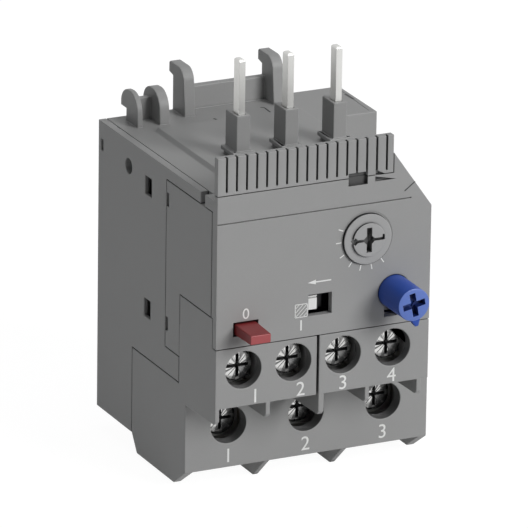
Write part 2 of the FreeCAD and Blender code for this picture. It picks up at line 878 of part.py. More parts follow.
def add_barriers(body):
    """Walls under the main tier and ribs under the auxiliary block."""
    profile = [(S.foot_depth, S.foot_z), (S.foot_depth + S.barrier_back_run, 0),
               (S.tier_depth - S.barrier_front_run, 0), (S.tier_depth, S.foot_z)]
    deeper = [(S.foot_depth, S.foot_z), (S.foot_depth + S.barrier_back_run, -S.middle_drop),
              (S.tier_depth - S.barrier_front_run, -S.middle_drop), (S.tier_depth, S.foot_z)]
    pad(body, "side", 0, S.barrier_side, profile)
    for i in range(MAIN_COUNT - 1):
        middle = (main_x(i) + main_x(i + 1)) / 2
        pad(body, "side", middle - S.barrier_middle / 2, S.barrier_middle, deeper)
    pad(body, "side", S.base_width - S.barrier_side, S.barrier_side, profile)
    for i in range(AUX_COUNT - 1):
        if i != 1:
            pad(body, "side", (aux_x(i) + aux_x(i + 1)) / 2 - S.rib_thick / 2, S.rib_thick, rib(S.rib_drop))
    pad(body, "side", 0, S.rib_thick, rib(S.rib_drop))
    pad(body, "side", S.end_rib_x, S.rib_thick, rib(S.rib_drop))
    pad(body, "side", S.centre_rib_x, S.centre_rib_thick, rib(S.centre_rib_drop))
    pocket(body, "front", S.front_depth, S.groove_depth,
           rect(S.centre_rib_x - S.groove_width, S.tier_top_z, S.centre_rib_x, S.cover_bottom_z))


def add_main_chambers(body):
    clamp_back = S.tier_depth - S.main_recess - S.main_head_thick
    front = S.tier_depth - S.main_front_wall
    for i in range(MAIN_COUNT):
        x = main_x(i)
        pocket(body, "front", S.tier_depth, S.main_front_wall + 1, (x, S.main_z, S.main_hole))
        pocket(body, "plan", S.main_cavity_top_z, S.main_cavity_top_z - S.main_cavity_low_z,
               rect(x - S.main_cavity_width / 2, S.main_bar_back_d - S.seam, x + S.main_cavity_width / 2,
                    front))
        wire_back = S.main_bar_back_d + S.main_bar_thick + S.play
        pocket(body, "plan", S.main_cavity_low_z, S.main_cavity_low_z,
               rect(x - S.main_wire_width / 2, wire_back, x + S.main_wire_width / 2,
                    wire_back + S.main_wire_depth))
        # screw relief behind the bar
        pocket(body, "front", S.main_bar_back_d, S.main_relief, (x, S.main_z, S.main_shank + S.play))
        left = smaller(x - S.main_bar_width / 2, strip_x(i) - S.main_tail_width / 2) - S.seam
        right = larger(x + S.main_bar_width / 2, strip_x(i) + S.main_tail_width / 2) + S.seam
        pocket(body, "plan", S.tier_top_z, S.tier_top_z - S.main_z - S.main_shank,
               rect(left, S.main_bar_back_d - S.seam, right, S.main_bar_back_d + S.main_bar_thick + S.seam))


def aux_jog(index):
    """Left and right of the widest part of an auxiliary bar."""
    x = aux_x(index)
    left = smaller(x - S.aux_bar_width / 2, finger_x(index) - S.finger_width / 2)
    right = larger(x + S.aux_bar_width / 2, finger_x(index) + S.finger_width / 2)
    return left, right


def add_aux_chambers(body):
    front = S.front_depth - S.aux_front_wall
    for i in range(AUX_COUNT):
        x = aux_x(i)
        pocket(body, "front", S.front_depth, S.aux_front_wall + 1, (x, S.aux_z, S.aux_hole))
        pocket(body, "plan", S.aux_cavity_top_z, S.aux_cavity_top_z - S.aux_cavity_low_z,
               rect(x - S.aux_cavity_width / 2, S.aux_bar_back_d - S.seam, x + S.aux_cavity_width / 2,
                    front))
        wire_back = S.aux_bar_back_d + S.aux_bar_thick + S.play
        pocket(body, "plan", S.aux_cavity_low_z, S.aux_cavity_low_z - S.tier_top_z,
               rect(x - S.aux_wire_width / 2, wire_back, x + S.aux_wire_width / 2,
                    wire_back + S.aux_wire_depth))
        pocket(body, "front", S.aux_bar_back_d, S.aux_relief, (x, S.aux_z, S.aux_shank + S.play))
        left, right = aux_jog(i)
        pocket(body, "plan", S.cover_bottom_z, S.cover_bottom_z - S.aux_z - S.aux_shank - S.play,
               rect(left - S.seam, S.aux_bar_back_d - S.seam, right + S.seam,
                    S.aux_bar_back_d + S.aux_bar_thick + S.seam))


def front_cover():
    body = new_body("front_cover")
    back = S.front_depth - S.wall
    lip_low = S.rim_z - S.deck + S.shelf + S.seam
    outline = [(S.front_depth, S.cover_bottom_z), (S.front_depth, S.cover_top_z), (back, S.cover_top_z),
               (back, S.rim_z), (S.lip_depth, S.rim_z), (S.lip_depth, lip_low),
               (S.return_depth + S.seam, lip_low),
               (S.return_depth + S.seam, S.side_seam_z), (back, S.side_seam_z), (back, S.cover_bottom_z)]
    pad(body, "side", 0, S.cover_width, outline)
    # the lip comes down over the shelf's end on the left
    pad(body, "side", 0, S.side_cover,
        rect(S.lip_depth, S.rim_z - S.deck + S.seam / 2, S.return_depth + S.seam * 2, lip_low + S.seam))
    pocket(body, "front", S.front_depth, S.front_depth - S.lip_depth + PAST,
           [(bevel_x(S.cover_top_z), S.cover_top_z), (S.cover_width, S.cover_top_z),
            (S.cover_width, S.bevel_low_z)])
    # three-cornered ear right of the slotted strip
    ear_left = S.comb_width + S.seam
    share = (S.bevel_top_z - S.bevel_low_z) / (S.cover_width - S.comb_width)
    pad(body, "front", back, S.wall,
        [(ear_left, S.cover_top_z - S.wall), (bevel_x(S.cover_top_z - S.wall), S.cover_top_z - S.wall),
         (ear_left, S.bevel_top_z - S.seam * share)])
    inner_right = S.cover_width - S.wall
    top = S.rim_z - S.deck
    pocket(body, "front", back, S.wall,
           [(S.wall, S.side_seam_z), (inner_right, S.side_seam_z),
            (inner_right, S.bevel_low_z - S.shoulder_drop),
            (bevel_x(top) - S.wall, top), (S.wall, top)])
    stop = rect(S.stop_x - S.stop_gap, S.stop_low_z - S.stop_gap, S.stop_x + S.stop_width + S.stop_gap,
                S.stop_low_z + S.stop_height + S.stop_gap)
    window = rect(S.window_x, S.window_low_z, S.window_x + S.window_width, S.window_low_z + S.window_height)
    pocket(body, "front", S.front_depth, S.wall, stop, window,
           (S.dial_x, S.dial_z, S.dial_shaft + S.pivot_clearance))
    # well round the dial, name field line, window and wedge recesses
    pocket(body, "front", S.front_depth, S.dial_well, (S.dial_x, S.dial_z, S.dial_radius + S.dial_gap))
    pocket(body, "front", S.front_depth, S.line_depth, rect(0, S.line_z, S.line_right_x,
                                                            S.line_z + S.line_width))
    pocket(body, "front", S.front_depth, S.label_depth,
           rect(S.label_x, S.label_low_z, S.label_x + S.label_width, S.cover_top_z))
    pocket(body, "front", S.front_depth, S.wedge_depth,
           [(S.wedge_x, S.wedge_low_z), (S.wedge_x + S.wedge_width, S.wedge_low_z),
            (S.wedge_x, S.wedge_low_z + S.wedge_height)])
    # guide collar of the reset button
    pad(body, "front", S.reset_back_d, S.front_depth - S.wall - S.reset_back_d,
        (S.reset_x, S.reset_z, S.reset_radius + S.collar))
    pocket(body, "front", S.front_depth, S.front_depth - S.reset_back_d,
           (S.reset_x, S.reset_z, S.reset_radius + S.reset_clearance))
    # recess for the reset button's nib, low on its left
    pocket(body, "front", S.front_depth, S.nib_recess_depth,
           rect(S.reset_x - S.nib_recess_left, S.reset_z - S.nib_recess_low, S.reset_x + S.nib_recess_right,
                S.reset_z - S.reset_radius + S.nib_recess_right))


def top_comb():
    body = new_body("top_comb")
    low = S.cover_top_z + S.seam
    pad(body, "front", S.front_depth - S.comb_thickness, S.comb_thickness,
        rect(0, low, S.comb_width, S.comb_top_z))
    pocket(body, "front", S.front_depth, S.label_depth,
           rect(S.label_x, low, S.label_x + S.label_width, S.label_top_z))
    cut = pocket(body, "front", S.front_depth, S.slot_cut,
                 rect(S.slot_first_x - S.slot_width / 2, S.slot_bottom_z, S.slot_first_x + S.slot_width / 2,
                      S.comb_top_z))
    pattern = body.newObject("PartDesign::LinearPattern", "slots")
    pattern.Originals = [cut]
    axis = [item for item in body.Origin.OriginFeatures if item.Role == "X_Axis"][0]
    pattern.Direction = (axis, [""])
    pattern.setExpression("Length", (S.slot_pitch * (SLOT_COUNT - 1)).text)
    pattern.Occurrences = SLOT_COUNT
    body.Tip = pattern


# Current path

def connection_pin(index):
    x = pin_x(index)
    front = S.pin_back_d + S.pin_thick
    bar = box(x - S.pin_width / 2, x + S.pin_width / 2, S.pin_back_d, front, S.pin_foot_z, S.pin_top_z)
    middle = strip_x(index)
    half = S.strip_depth / 2
    right = larger(middle + half, x + S.pin_width / 2)
    foot = box(middle - half, right, S.strip_back_d - S.strip_foot, front, S.pin_foot_z,
               S.pin_foot_z + S.pin_foot_thick)
    whole = joined(bar, foot)
    DOC.recompute()
    tip = DOC.addObject("Part::Chamfer", "tip")
    tip.Base = whole
    edges = []
    for number, edge in enumerate(whole.Shape.Edges, start=1):
        if edge.BoundBox.ZMin > S.pin_top_z.value - TOUCH:
            edges.append((number, S.pin_chamfer.value, S.pin_chamfer.value))
    tip.Edges = edges
    return piece(f"connection_pin_{index + 1}", tip)


def bimetal_strip(index):
    x = strip_x(index)
    half = S.strip_thick / 2
    front = S.strip_back_d + S.strip_depth
    strip = box(x - half, x + half, S.strip_back_d, front, S.strip_low_z, S.pin_foot_z)
    foot = box(x - half * 3, x + half * 3, S.strip_back_d, front, S.pin_foot_z - S.strip_foot, S.pin_foot_z)
    return piece(f"bimetal_strip_{index + 1}", joined(strip, foot))


def heater_winding(index):
    """Ribbon heater wound round a sleeve on the strip, with a lead down to the terminal bar."""
    x = strip_x(index)
    outer = S.heater_half
    back = S.strip_back_d - S.heater_margin
    front = S.strip_back_d + S.strip_depth + S.heater_margin
    inset = S.heater_wire
    sleeve = box(x - outer + inset, x + outer - inset, back + inset, front - inset, S.heater_low_z,
                 S.heater_top_z)
    turns = []
    count = int((S.heater_top_z.value - S.heater_low_z.value) / S.heater_pitch.value)
    for turn in range(count):
        low = S.heater_low_z + S.heater_pitch * turn
        turns.append(box(x - outer, x + outer, back, front, low, low + S.heater_wire * 2))
    lead = box(x - outer / 2, x + outer / 2, front - inset, S.main_bar_back_d + S.main_bar_thick,
               S.heater_low_z, S.heater_low_z + S.heater_wire * 2)
    gap = S.heater_gap
    bore = box(x - S.strip_thick / 2 - gap, x + S.strip_thick / 2 + gap, S.strip_back_d - gap,
               S.strip_back_d + S.strip_depth + gap, S.heater_low_z - PAST, S.heater_top_z + PAST)
    return piece(f"heater_winding_{index + 1}", without(joined(sleeve, lead, *turns), bore))


def main_terminal_bar(index):
    x = main_x(index)
    tail = strip_x(index)
    back = S.main_bar_back_d
    front = back + S.main_bar_thick
    shoulder = S.main_z + S.main_shank + S.bar_shoulder
    plate = box(x - S.main_bar_width / 2, x + S.main_bar_width / 2, back, front, S.main_bar_low_z,
                S.main_cavity_top_z)
    left = smaller(x - S.main_bar_width / 2, tail - S.main_tail_width / 2)
    right = larger(x + S.main_bar_width / 2, tail + S.main_tail_width / 2)
    jog = box(left, right, back, front, shoulder, S.main_cavity_top_z)
    riser = box(tail - S.main_tail_width / 2, tail + S.main_tail_width / 2, back, front, shoulder,
                S.heater_low_z)
    hole = rod(x, S.main_z, S.main_shank + S.screw_clearance, back - PAST, front + PAST)
    return piece(f"main_terminal_bar_{index + 1}", without(joined(plate, jog, riser), hole))


def aux_terminal_bar(index):
    x = aux_x(index)
    back = S.aux_bar_back_d
    front = back + S.aux_bar_thick
    shoulder = S.aux_z + S.aux_shank + S.play * 2
    left, right = aux_jog(index)
    plate = box(x - S.aux_bar_width / 2, x + S.aux_bar_width / 2, back, front,
                S.aux_cavity_low_z + S.seam, S.aux_cavity_top_z - S.seam)
    jog = box(left, right, back, front, shoulder, S.aux_cavity_top_z - S.seam)
    finger = box(finger_x(index) - S.finger_width / 2, finger_x(index) + S.finger_width / 2, back, front,
                 shoulder, S.finger_top_z)
    hole = rod(x, S.aux_z, S.aux_shank + S.screw_clearance, back - PAST, front + PAST)
    return piece(f"aux_terminal_bar_{index + 1}", without(joined(plate, jog, finger), hole))


# Terminal screws and clamps

def clamp_plate(label, x, z, width, height, back, thick, hole):
    plate = box(x - width / 2, x + width / 2, back, back + thick, z - height / 2, z + height / 2)
    return piece(label, without(plate, rod(x, z, hole, back - PAST, back + thick + PAST)))


def terminal_screw(label, x, z, head, head_back, head_thick, shank, tip_d):
    """Pan-head screw with a crossed recess, its tip behind the threaded bar."""
    face = head_back + head_thick
    whole = joined(rod(x, z, head, head_back, face), rod(x, z, shank, tip_d, head_back + S.running_gap))
    half = S.cross_width / 2
    arm = head * S.cross_share
    tools = [box(x - arm, x + arm, face - S.cross_depth, face + PAST, z - half, z + half),
             box(x - half, x + half, face - S.cross_depth, face + PAST, z - arm, z + arm)]
    return piece(label, without(whole, *tools))


def aux_terminal(index):
    x = aux_x(index)
    head_back = S.front_depth - S.aux_recess - S.aux_head_thick
    clamp_plate(f"aux_clamp_{index + 1}", x, S.aux_z, S.aux_clamp, S.aux_clamp,
                head_back - S.aux_clamp_thick - S.screw_clearance, S.aux_clamp_thick,
                S.aux_shank + S.screw_clearance)
    terminal_screw(f"aux_screw_{index + 1}", x, S.aux_z, S.aux_head, head_back, S.aux_head_thick,
                   S.aux_shank, S.aux_bar_back_d + S.aux_tip)


def main_terminal(index):
    x = main_x(index)
    head_back = S.tier_depth - S.main_recess - S.main_head_thick
    clamp_plate(f"main_clamp_{index + 1}", x, S.main_z, S.main_clamp_width, S.main_clamp_height,
                head_back - S.main_clamp_thick - S.screw_clearance, S.main_clamp_thick,
                S.main_shank + S.screw_clearance)
    terminal_screw(f"main_screw_{index + 1}", x, S.main_z, S.main_head, head_back, S.main_head_thick,
                   S.main_shank, S.main_bar_back_d + S.main_tip)


# Trip mechanism

def trip_slider():
    back = S.slider_back_d
    front = back + S.slider_depth
    top = S.slider_low_z + S.slider_height
    bar = box(S.slider_left_x, S.slider_right_x, back, front, S.slider_low_z, top)
    slots = []
    for i in range(MAIN_COUNT):
        x = strip_x(i)
        half = S.strip_thick / 2
        slots.append(box(x - half - S.slider_travel - S.play, x + half + S.heater_gap, back - PAST,
                         front + PAST, S.strip_low_z - S.play, top + PAST))
    return piece("trip_slider", without(bar, *slots))


def compensating_lever():
    half = S.lever_thick / 2
    top = S.lever_arm_z + S.lever_arm_height
    low = S.slider_low_z + S.play
    hub = upright(S.lever_x, S.lever_d, S.hub_radius, low, top)
    back_arm = box(S.lever_x - half, S.lever_x + half, S.lever_back_d, S.lever_d, low,
                   S.slider_low_z + S.slider_height - S.play)
    front_arm = box(S.lever_x - half, S.lever_x + half, S.lever_d, S.lever_arm_front_d, S.lever_arm_z, top)
    bore = upright(S.lever_x, S.lever_d, S.pivot_radius + S.pivot_clearance, low - PAST, top + PAST)
    return piece("compensating_lever", without(joined(hub, back_arm, front_arm), bore))


def setting_lever():
    x = setting_x()
    half = S.lever_thick / 2
    back = S.cam_back_d - S.heater_gap
    front = S.cam_back_d + S.cam_thick
    hub = rod(x, S.setting_hub_z, S.hub_radius, back, front)
    arm = box(x - half, x + half, back, front, S.setting_tip_z, S.setting_hub_z)
    bore = rod(x, S.setting_hub_z, S.pivot_radius + S.pivot_clearance, back - PAST, front + PAST)
    return piece("setting_lever", without(joined(hub, arm), bore))


def trip_lever():
    x = S.trip_lever_x
    half = S.lever_thick / 2
    back = S.carrier_back_d + S.play
    front = S.carrier_back_d + S.carrier_depth - S.play
    top = S.carrier_low_z + S.carrier_height
    hub = rod(x, S.trip_lever_z, S.hub_radius, back, front)
    arm = box(x - half, x + half, back, front, top - S.trip_tip, S.trip_lever_z)
    bore = rod(x, S.trip_lever_z, S.pivot_radius + S.pivot_clearance, back - PAST, front + PAST)
    return piece("trip_lever", without(joined(hub, arm), bore))


def contact_carrier():
    back = S.carrier_back_d
    front = back + S.carrier_depth
    top = S.carrier_low_z + S.carrier_height
    bar = box(S.carrier_left_x, S.carrier_right_x, back, front, S.carrier_low_z, top)
    foot = box(S.window_x + S.pivot_clearance, S.window_x + S.flag_width, front, front + S.tongue,
               S.flag_low_z,
               S.flag_low_z + S.flag_height)
    left = S.window_x + S.tongue_rib_x
    upright_rib = box(left, left + S.tongue_rib, front, S.tongue_rib_d, S.window_low_z + S.tongue_rib_gap,
                      S.window_low_z + S.window_height - S.tongue_rib_gap)
    notch = box(S.trip_lever_x - S.lever_thick / 2 - S.play, S.trip_lever_x + S.lever_thick / 2 + S.play,
                back - PAST, front + PAST, top - S.trip_tip - S.play, top + PAST)
    return piece("contact_carrier", without(joined(bar, foot, upright_rib), notch))


def test_slider():
    back = S.carrier_back_d + S.carrier_depth + S.tongue
    face = S.front_depth - S.flag_recess
    top = S.flag_low_z + S.flag_height
    flag = box(S.window_x + S.pivot_clearance, S.window_x + S.flag_width, back, face, S.flag_low_z, top)
    groove = box(S.window_x - PAST, S.window_x + S.flag_width + PAST, face - S.flag_groove, S.front_depth,
                 top - S.flag_groove * 2, top - S.flag_groove)
    return piece("test_slider", without(flag, groove))


def contact_bridge(label, first, last, side):
    """A strip on the carrier's back with two tabs beside the fixed fingers: side -1 left, 1 right."""
    front = S.carrier_back_d
    back = front - S.bridge_thick
    low = S.bridge_low_z
    high = low + S.bridge_height
    rest_gap = S.contact_gap if side > 0 else S.contact_gap + S.contact_travel
    tabs = []
    edges = []
    for index in (first, last):
        near = finger_x(index) + (S.finger_width / 2 + rest_gap) * side
        far = near + S.tab_width * side
        left, right = (far, near) if side < 0 else (near, far)
        edges.extend([left, right])
        tabs.append(box(left, right, S.aux_bar_back_d, front, low, high))
    strip = box(edges[0], edges[-1], back, front, low, high)
    return piece(label, joined(strip, *tabs))


# Controls

def setting_dial():
    """Stepped dial in a well of the cover, with a crossed slot and its cam on the shaft behind."""
    x, z = S.dial_x, S.dial_z
    base = S.front_depth - S.dial_well + S.running_gap
    step = S.front_depth + S.dial_rise
    face = step + S.dial_step
    low = step - S.dial_groove_depth
    disc = without(rod(x, z, S.dial_radius, base, step),
                   rod(x, z, S.dial_inner_radius + S.dial_groove, low, step + PAST))
    inner = rod(x, z, S.dial_inner_radius, base, face)
    shaft = rod(x, z, S.dial_shaft, S.cam_back_d, base + S.running_gap)
    cam = rod(x + S.cam_offset, z + S.cam_offset, S.cam_radius, S.cam_back_d, S.cam_back_d + S.cam_thick)
    half = S.dial_slot / 2
    cross = S.dial_cross / 2
    reach = S.dial_inner_radius
    tools = [box(x - half, x + half, face - S.dial_slot_depth, face + PAST, z - S.dial_slot_height / 2,
                 z + S.dial_slot_height / 2),
             box(x - reach, x + reach, face - S.dial_slot_depth / 2, face + PAST, z - cross, z + cross)]
    return piece("setting_dial", without(joined(disc, inner, shaft, cam), *tools))


def reset_button():
    x, z = S.reset_x, S.reset_z
    face = S.front_depth + S.reset_length
    head = rod(x, z, S.reset_radius, S.reset_back_d, face)
    nib = box(x - S.nib_width / 2, x + S.nib_width / 2, face - S.nib_length, face, z - S.nib_reach, z)
    bore = rod(x, z, S.reset_stem + S.pivot_clearance, S.reset_back_d - PAST,
               S.front_depth + S.stem_reach + S.running_gap)
    half = S.knob_cross / 2
    reach = S.knob_cross_length / 2
    deep = face - S.knob_cross_depth
    arms = [box(x - reach, x + reach, deep, face + PAST, z - half, z + half),
            box(x - half, x + half, deep, face + PAST, z - reach, z + reach)]
    return piece("reset_button", without(joined(head, nib), bore, *arms))


def reset_slide():
    x, z = S.reset_x, S.reset_z
    flange = rod(x, z, S.reset_radius - S.flange_inset, S.reset_flange_d,
                 S.reset_back_d - S.pivot_clearance)
    stem = rod(x, z, S.reset_stem, S.reset_flange_d, S.front_depth + S.stem_reach)
    return piece("reset_slide", joined(flange, stem))


def stop_button():
    """Tapered key with a rounded face, a flange behind the cover and a spring stem."""
    top = S.stop_low_z + S.stop_height
    right = S.stop_x + S.stop_width
    inside = S.front_depth - S.wall - S.play
    length = S.front_depth + S.stop_length - inside
    key = DOC.addObject("Part::Wedge", "key")
    for name, value in (("Xmin", S.stop_taper), ("Xmax", S.stop_width - S.stop_taper), ("X2min", 0),
                        ("X2max", S.stop_width), ("Zmin", S.stop_taper),
                        ("Zmax", S.stop_height - S.stop_taper),
                        ("Z2min", 0), ("Z2max", S.stop_height), ("Ymin", 0), ("Ymax", length)):
        key.setExpression(name, dim(value).text)
    place(key, S.stop_x, inside + length, S.stop_low_z)
    DOC.recompute()
    soft = DOC.addObject("Part::Fillet", "soft_key")
    soft.Base = key
    front = [number for number, edge in enumerate(key.Shape.Edges, start=1)
             if edge.BoundBox.YMin < -(inside + length).value + TOUCH]
    soft.Edges = [(number, S.stop_round.value, S.stop_round.value) for number in front]
    behind = inside - S.stop_flange_thick
    flange = box(S.stop_x - S.stop_flange_low, right + S.stop_flange_high, behind, inside,
                 S.stop_low_z - S.stop_flange_low, top + S.stop_flange_high)
    stem = rod(stop_middle_x(), stop_middle_z(), S.stop_stem, S.stop_back_d, behind)
    return piece("stop_button", joined(soft, flange, stem))


def coil_spring(label, x, z, radius, back_d, front_d, pitch):
    """Helix of eight-sided wire along the depth, swept as one solid about the button's axis."""
    length = front_d.value - back_d.value - S.spring_wire.value
    helix = Part.makeHelix(pitch, length, radius.value)
    half = S.spring_wire.value / 2
    corners = [FreeCAD.Vector(radius.value + half * math.cos(angle), 0, half * math.sin(angle))
               for angle in [math.pi * (2 * i + 1) / WIRE_SIDES for i in range(WIRE_SIDES)]]
    ring = Part.makePolygon(corners + corners[:1])
    item = DOC.addObject("Part::Feature", label)
    item.Label = label
    item.Shape = Part.Wire(helix.Edges).makePipeShell([ring], True, True)
    item.Placement = FreeCAD.Placement(FreeCAD.Vector(), FreeCAD.Rotation(FreeCAD.Vector(1, 0, 0), 90))
    place(item, x + frame_x(), back_d + S.spring_wire / 2 - frame_y(), z + S.middle_drop)
    SPRINGS.append(item)
    return item


# The frame: origin under the middle of the bounding box

def frame_x():
    return -S.base_width / 2


def frame_y():
    return (S.front_depth + S.reset_length - S.hook_reach) / 2


def set_frame():
    for item in PIECES:
        item.setExpression("Placement.Base.x", frame_x().text)
        item.setExpression("Placement.Base.y", frame_y().text)
        item.setExpression("Placement.Base.z", S.middle_drop.text)


def build():
    fill_sheet()
    left_side_cover()
    rear_housing()
    mechanism_housing()
    terminal_housing()
    front_cover()
    top_comb()
    for index in range(MAIN_COUNT):
        connection_pin(index)
        bimetal_strip(index)
        heater_winding(index)
        main_terminal_bar(index)
        main_terminal(index)
    for index in range(AUX_COUNT):
        aux_terminal_bar(index)
        aux_terminal(index)
    trip_slider()
    compensating_lever()
    setting_lever()
    trip_lever()
    contact_carrier()
    test_slider()
    contact_bridge("nc_contact_bridge", 0, 1, 1)
    contact_bridge("no_contact_bridge", 2, 3, -1)
    setting_dial()
    reset_button()
    reset_slide()
    stop_button()
    set_frame()
    wall_front = S.partition_d + S.partition_thick
    coil_spring("reset_spring", S.reset_x, S.reset_z, S.reset_spring_radius, wall_front + S.pivot_clearance,
                S.reset_flange_d - S.pivot_clearance, S.spring_pitch.value)
    coil_spring("stop_spring", stop_middle_x(), stop_middle_z(), S.stop_spring_radius,
                wall_front + S.pivot_clearance, S.stop_back_d - S.pivot_clearance,
                S.stop_spring_pitch.value)
    DOC.recompute()


def check_and_write():
    faulty = [item.Label for item in DOC.Objects if "Invalid" in item.State or "Error" in item.State]
    if faulty:
        raise RuntimeError(f"faulty objects: {faulty}")
    os.makedirs("parts", exist_ok=True)
    for item in PIECES + SPRINGS:
        shape = item.Shape
        if shape.isNull() or not shape.isValid():
            raise RuntimeError(f"{item.Label} has no valid shape")
        bounds = shape.BoundBox
        print(f"{item.Label:24s} solids {len(shape.Solids)} volume {shape.Volume:9.2f}  "
              f"x {bounds.XMin:7.2f} {bounds.XMax:7.2f}  y {bounds.YMin:7.2f} {bounds.YMax:7.2f}  "
              f"z {bounds.ZMin:7.2f} {bounds.ZMax:7.2f}")
        shape.exportStep(f"parts/{item.Label}.step")


build()
check_and_write()
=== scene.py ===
import math

import bmesh
import bpy
from bpy.props import FloatProperty, FloatVectorProperty, IntProperty
from mathutils import Matrix, Vector


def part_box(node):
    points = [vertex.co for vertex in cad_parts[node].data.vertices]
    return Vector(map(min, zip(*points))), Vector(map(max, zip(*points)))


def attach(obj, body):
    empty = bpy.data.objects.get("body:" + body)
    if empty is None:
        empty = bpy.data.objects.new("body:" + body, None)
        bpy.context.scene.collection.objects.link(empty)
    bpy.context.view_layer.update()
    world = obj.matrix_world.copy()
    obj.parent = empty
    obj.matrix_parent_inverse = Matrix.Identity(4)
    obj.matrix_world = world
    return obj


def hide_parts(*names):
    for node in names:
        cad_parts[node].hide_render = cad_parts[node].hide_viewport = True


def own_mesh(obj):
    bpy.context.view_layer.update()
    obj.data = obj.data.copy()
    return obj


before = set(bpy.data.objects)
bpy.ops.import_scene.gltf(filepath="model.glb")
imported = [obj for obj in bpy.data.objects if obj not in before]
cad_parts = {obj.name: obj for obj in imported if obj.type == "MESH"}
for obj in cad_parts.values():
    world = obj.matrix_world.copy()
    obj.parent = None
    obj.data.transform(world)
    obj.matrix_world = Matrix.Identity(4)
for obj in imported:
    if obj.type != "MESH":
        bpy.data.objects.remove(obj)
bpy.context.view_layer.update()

bl_info = {
    "name": "Overload relay dressing",
    "version": (1, 0, 0),
    "blender": (4, 5, 0),
    "location": "View3D > Sidebar > Relay",
    "description": "Dresses the packed relay with moulded plastic, plated metal and printed marks",
    "category": "Object",
}

MM = 0.001

# Where the CAD's corner coordinates start: left side, back face and outer feet of the relay
SIDE_LOW, SIDE_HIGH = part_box("left_side_cover")
SIDE_COVER_LIFT = 3.05
LEFT_SIDE = SIDE_LOW.x
BACK_FACE = SIDE_HIGH.y
FEET = SIDE_LOW.z - SIDE_COVER_LIFT * MM

# Faces in mm forward of the back face, the rim's top above the feet, and (x, z) of the turning controls
COVER_FACE = 47.0
TIER_FACE = 35.5
RIM_TOP = 54.4
DIAL_AXIS = (27.3, 44.6)
KNOB_AXIS = (32.55, 34.6)

# The seven terminals, in the order in which their pieces are made
TERMINALS = [("aux", index) for index in range(1, 5)] + [("main", index) for index in range(1, 4)]

# Corners nearer than this are joined, in a node's own triangles and in new shapes
NODE_MERGE = 0.002 * MM
MERGE = 0.001 * MM

# Angles in degrees: flat enough to join triangles, bent enough to round, and from where an edge is sharp
FLAT_WITHIN = 0.6
ROUND_FROM = 40
PLAIN_SHARP = 35
MOULDED_SHARP = 20
SCREW_SHARP = 28
DIAL_SHARP = 30
KNOB_SHARP = 32
WIRE_SHARP = 60

DISC_SEGMENTS = 96

# Moulded finishes: colour, roughness, mottle, bump and edge wear, whose lightening is also a painted edge
# highlight
PLASTICS = {
    "grey_casing_plastic": ("casing", 0.5, 0.06, 0.25, 0.12),
    "dark_inner_plastic": ("dark", 0.4, 0.1, 0.15, 0.05),
    "shaded_bore_plastic": ("bore", 0.5, 0.06, 0.2, 0.0),
    "shaded_recess_plastic": ("recess", 0.6, 0.05, 0.15, 0.0),
    "white_print": ("white", 0.6, 0.05, 0.1, 0.0),
    "trip_slider_white": ("white", 0.5, 0.05, 0.2, 0.05),
    "slider_white_plastic": ("white", 0.45, 0.04, 0.1, 0.0),
    "dial_plastic": ("dial", 0.42, 0.05, 0.2, 0.15),
    "blue_knob_plastic": ("knob", 0.36, 0.05, 0.12, 0.1),
    "knob_slot_plastic": ("knob_slot", 0.5, 0.05, 0.12, 0.0),
    "knob_face_plastic": ("knob_face", 0.34, 0.05, 0.12, 0.1),
    "red_key_plastic": ("key", 0.38, 0.06, 0.12, 0.15),
    "red_key_face_plastic": ("key_face", 0.36, 0.06, 0.12, 0.15),
}

# Metal finishes: colour, roughness, tarnish and the scale of the drawn streaks
METALS = {
    "bright_screw_plating": ("chrome", 0.16, 0.12, 1400.0),
    "dull_screw_plating": ("reflection_shade_chrome", 0.2, 0.2, 1400.0),
    "tinned_pin": ("pin", 0.42, 0.1, 700.0),
    "clamp_zinc": ("zinc", 0.38, 0.25, 800.0),
    "bar_copper_alloy": ("copper", 0.34, 0.3, 600.0),
    "rolled_bimetal": ("bimetal", 0.4, 0.35, 1200.0),
    "heater_ribbon": ("ribbon", 0.5, 0.5, 900.0),
    "spring_wire_steel": ("wire", 0.3, 0.15, 1500.0),
}
PLASTIC_SPECULAR = 0.35
METAL_SPECULAR = 0.5
METAL_BUMP = 0.05
BUMP_HEIGHT = 0.05 * MM

# The colour sockets of a mix node: first and second input, and the result
MIX_FIRST, MIX_SECOND, MIX_RESULT = 6, 7, 2

RUB_RADIUS = 0.12 * MM
# grey of the edges: rubbed wear and painted highlight
RUBBED_AND_LIT_GREY = (0.62, 0.62, 0.62, 1.0)
# reach of the painted crevice shade
CREVICE_SHADE_REACH = 0.8 * MM
TARNISH = (0.55, 0.53, 0.50, 1.0)


def corner(x, d, z):
    """A point given as mm from the left side, forward of the back face and above the feet."""
    return Vector((LEFT_SIDE + x * MM, BACK_FACE - d * MM, FEET + z * MM))


class RelaySizes(bpy.types.PropertyGroup):
    edge_round: FloatProperty(name="Edge rounding", description="Radius of the moulded casing's edges",
                              default=0.14 * MM, unit="LENGTH")
    grain_size: FloatProperty(name="Grain size", description="Width of one grain of the moulded surface",
                              default=0.22 * MM, unit="LENGTH")
    screw_round: FloatProperty(name="Screw rounding", description="Radius at the rim of a screw head",
                               default=0.35 * MM, unit="LENGTH")
    mark_height: FloatProperty(name="Mark height", description="Height of a printed numeral",
                               default=2.6 * MM, unit="LENGTH")
    mark_thick: FloatProperty(name="Print thickness", description="How far the print stands on the casing",
                              default=0.02 * MM, unit="LENGTH")
    head_segments: IntProperty(name="Screw segments", description="Sides of a turned piece", default=64)


def colour(name, description, red, green, blue):
    return FloatVectorProperty(name=name, description=description, subtype="COLOR", size=4,
                               default=(red, green, blue, 1.0))


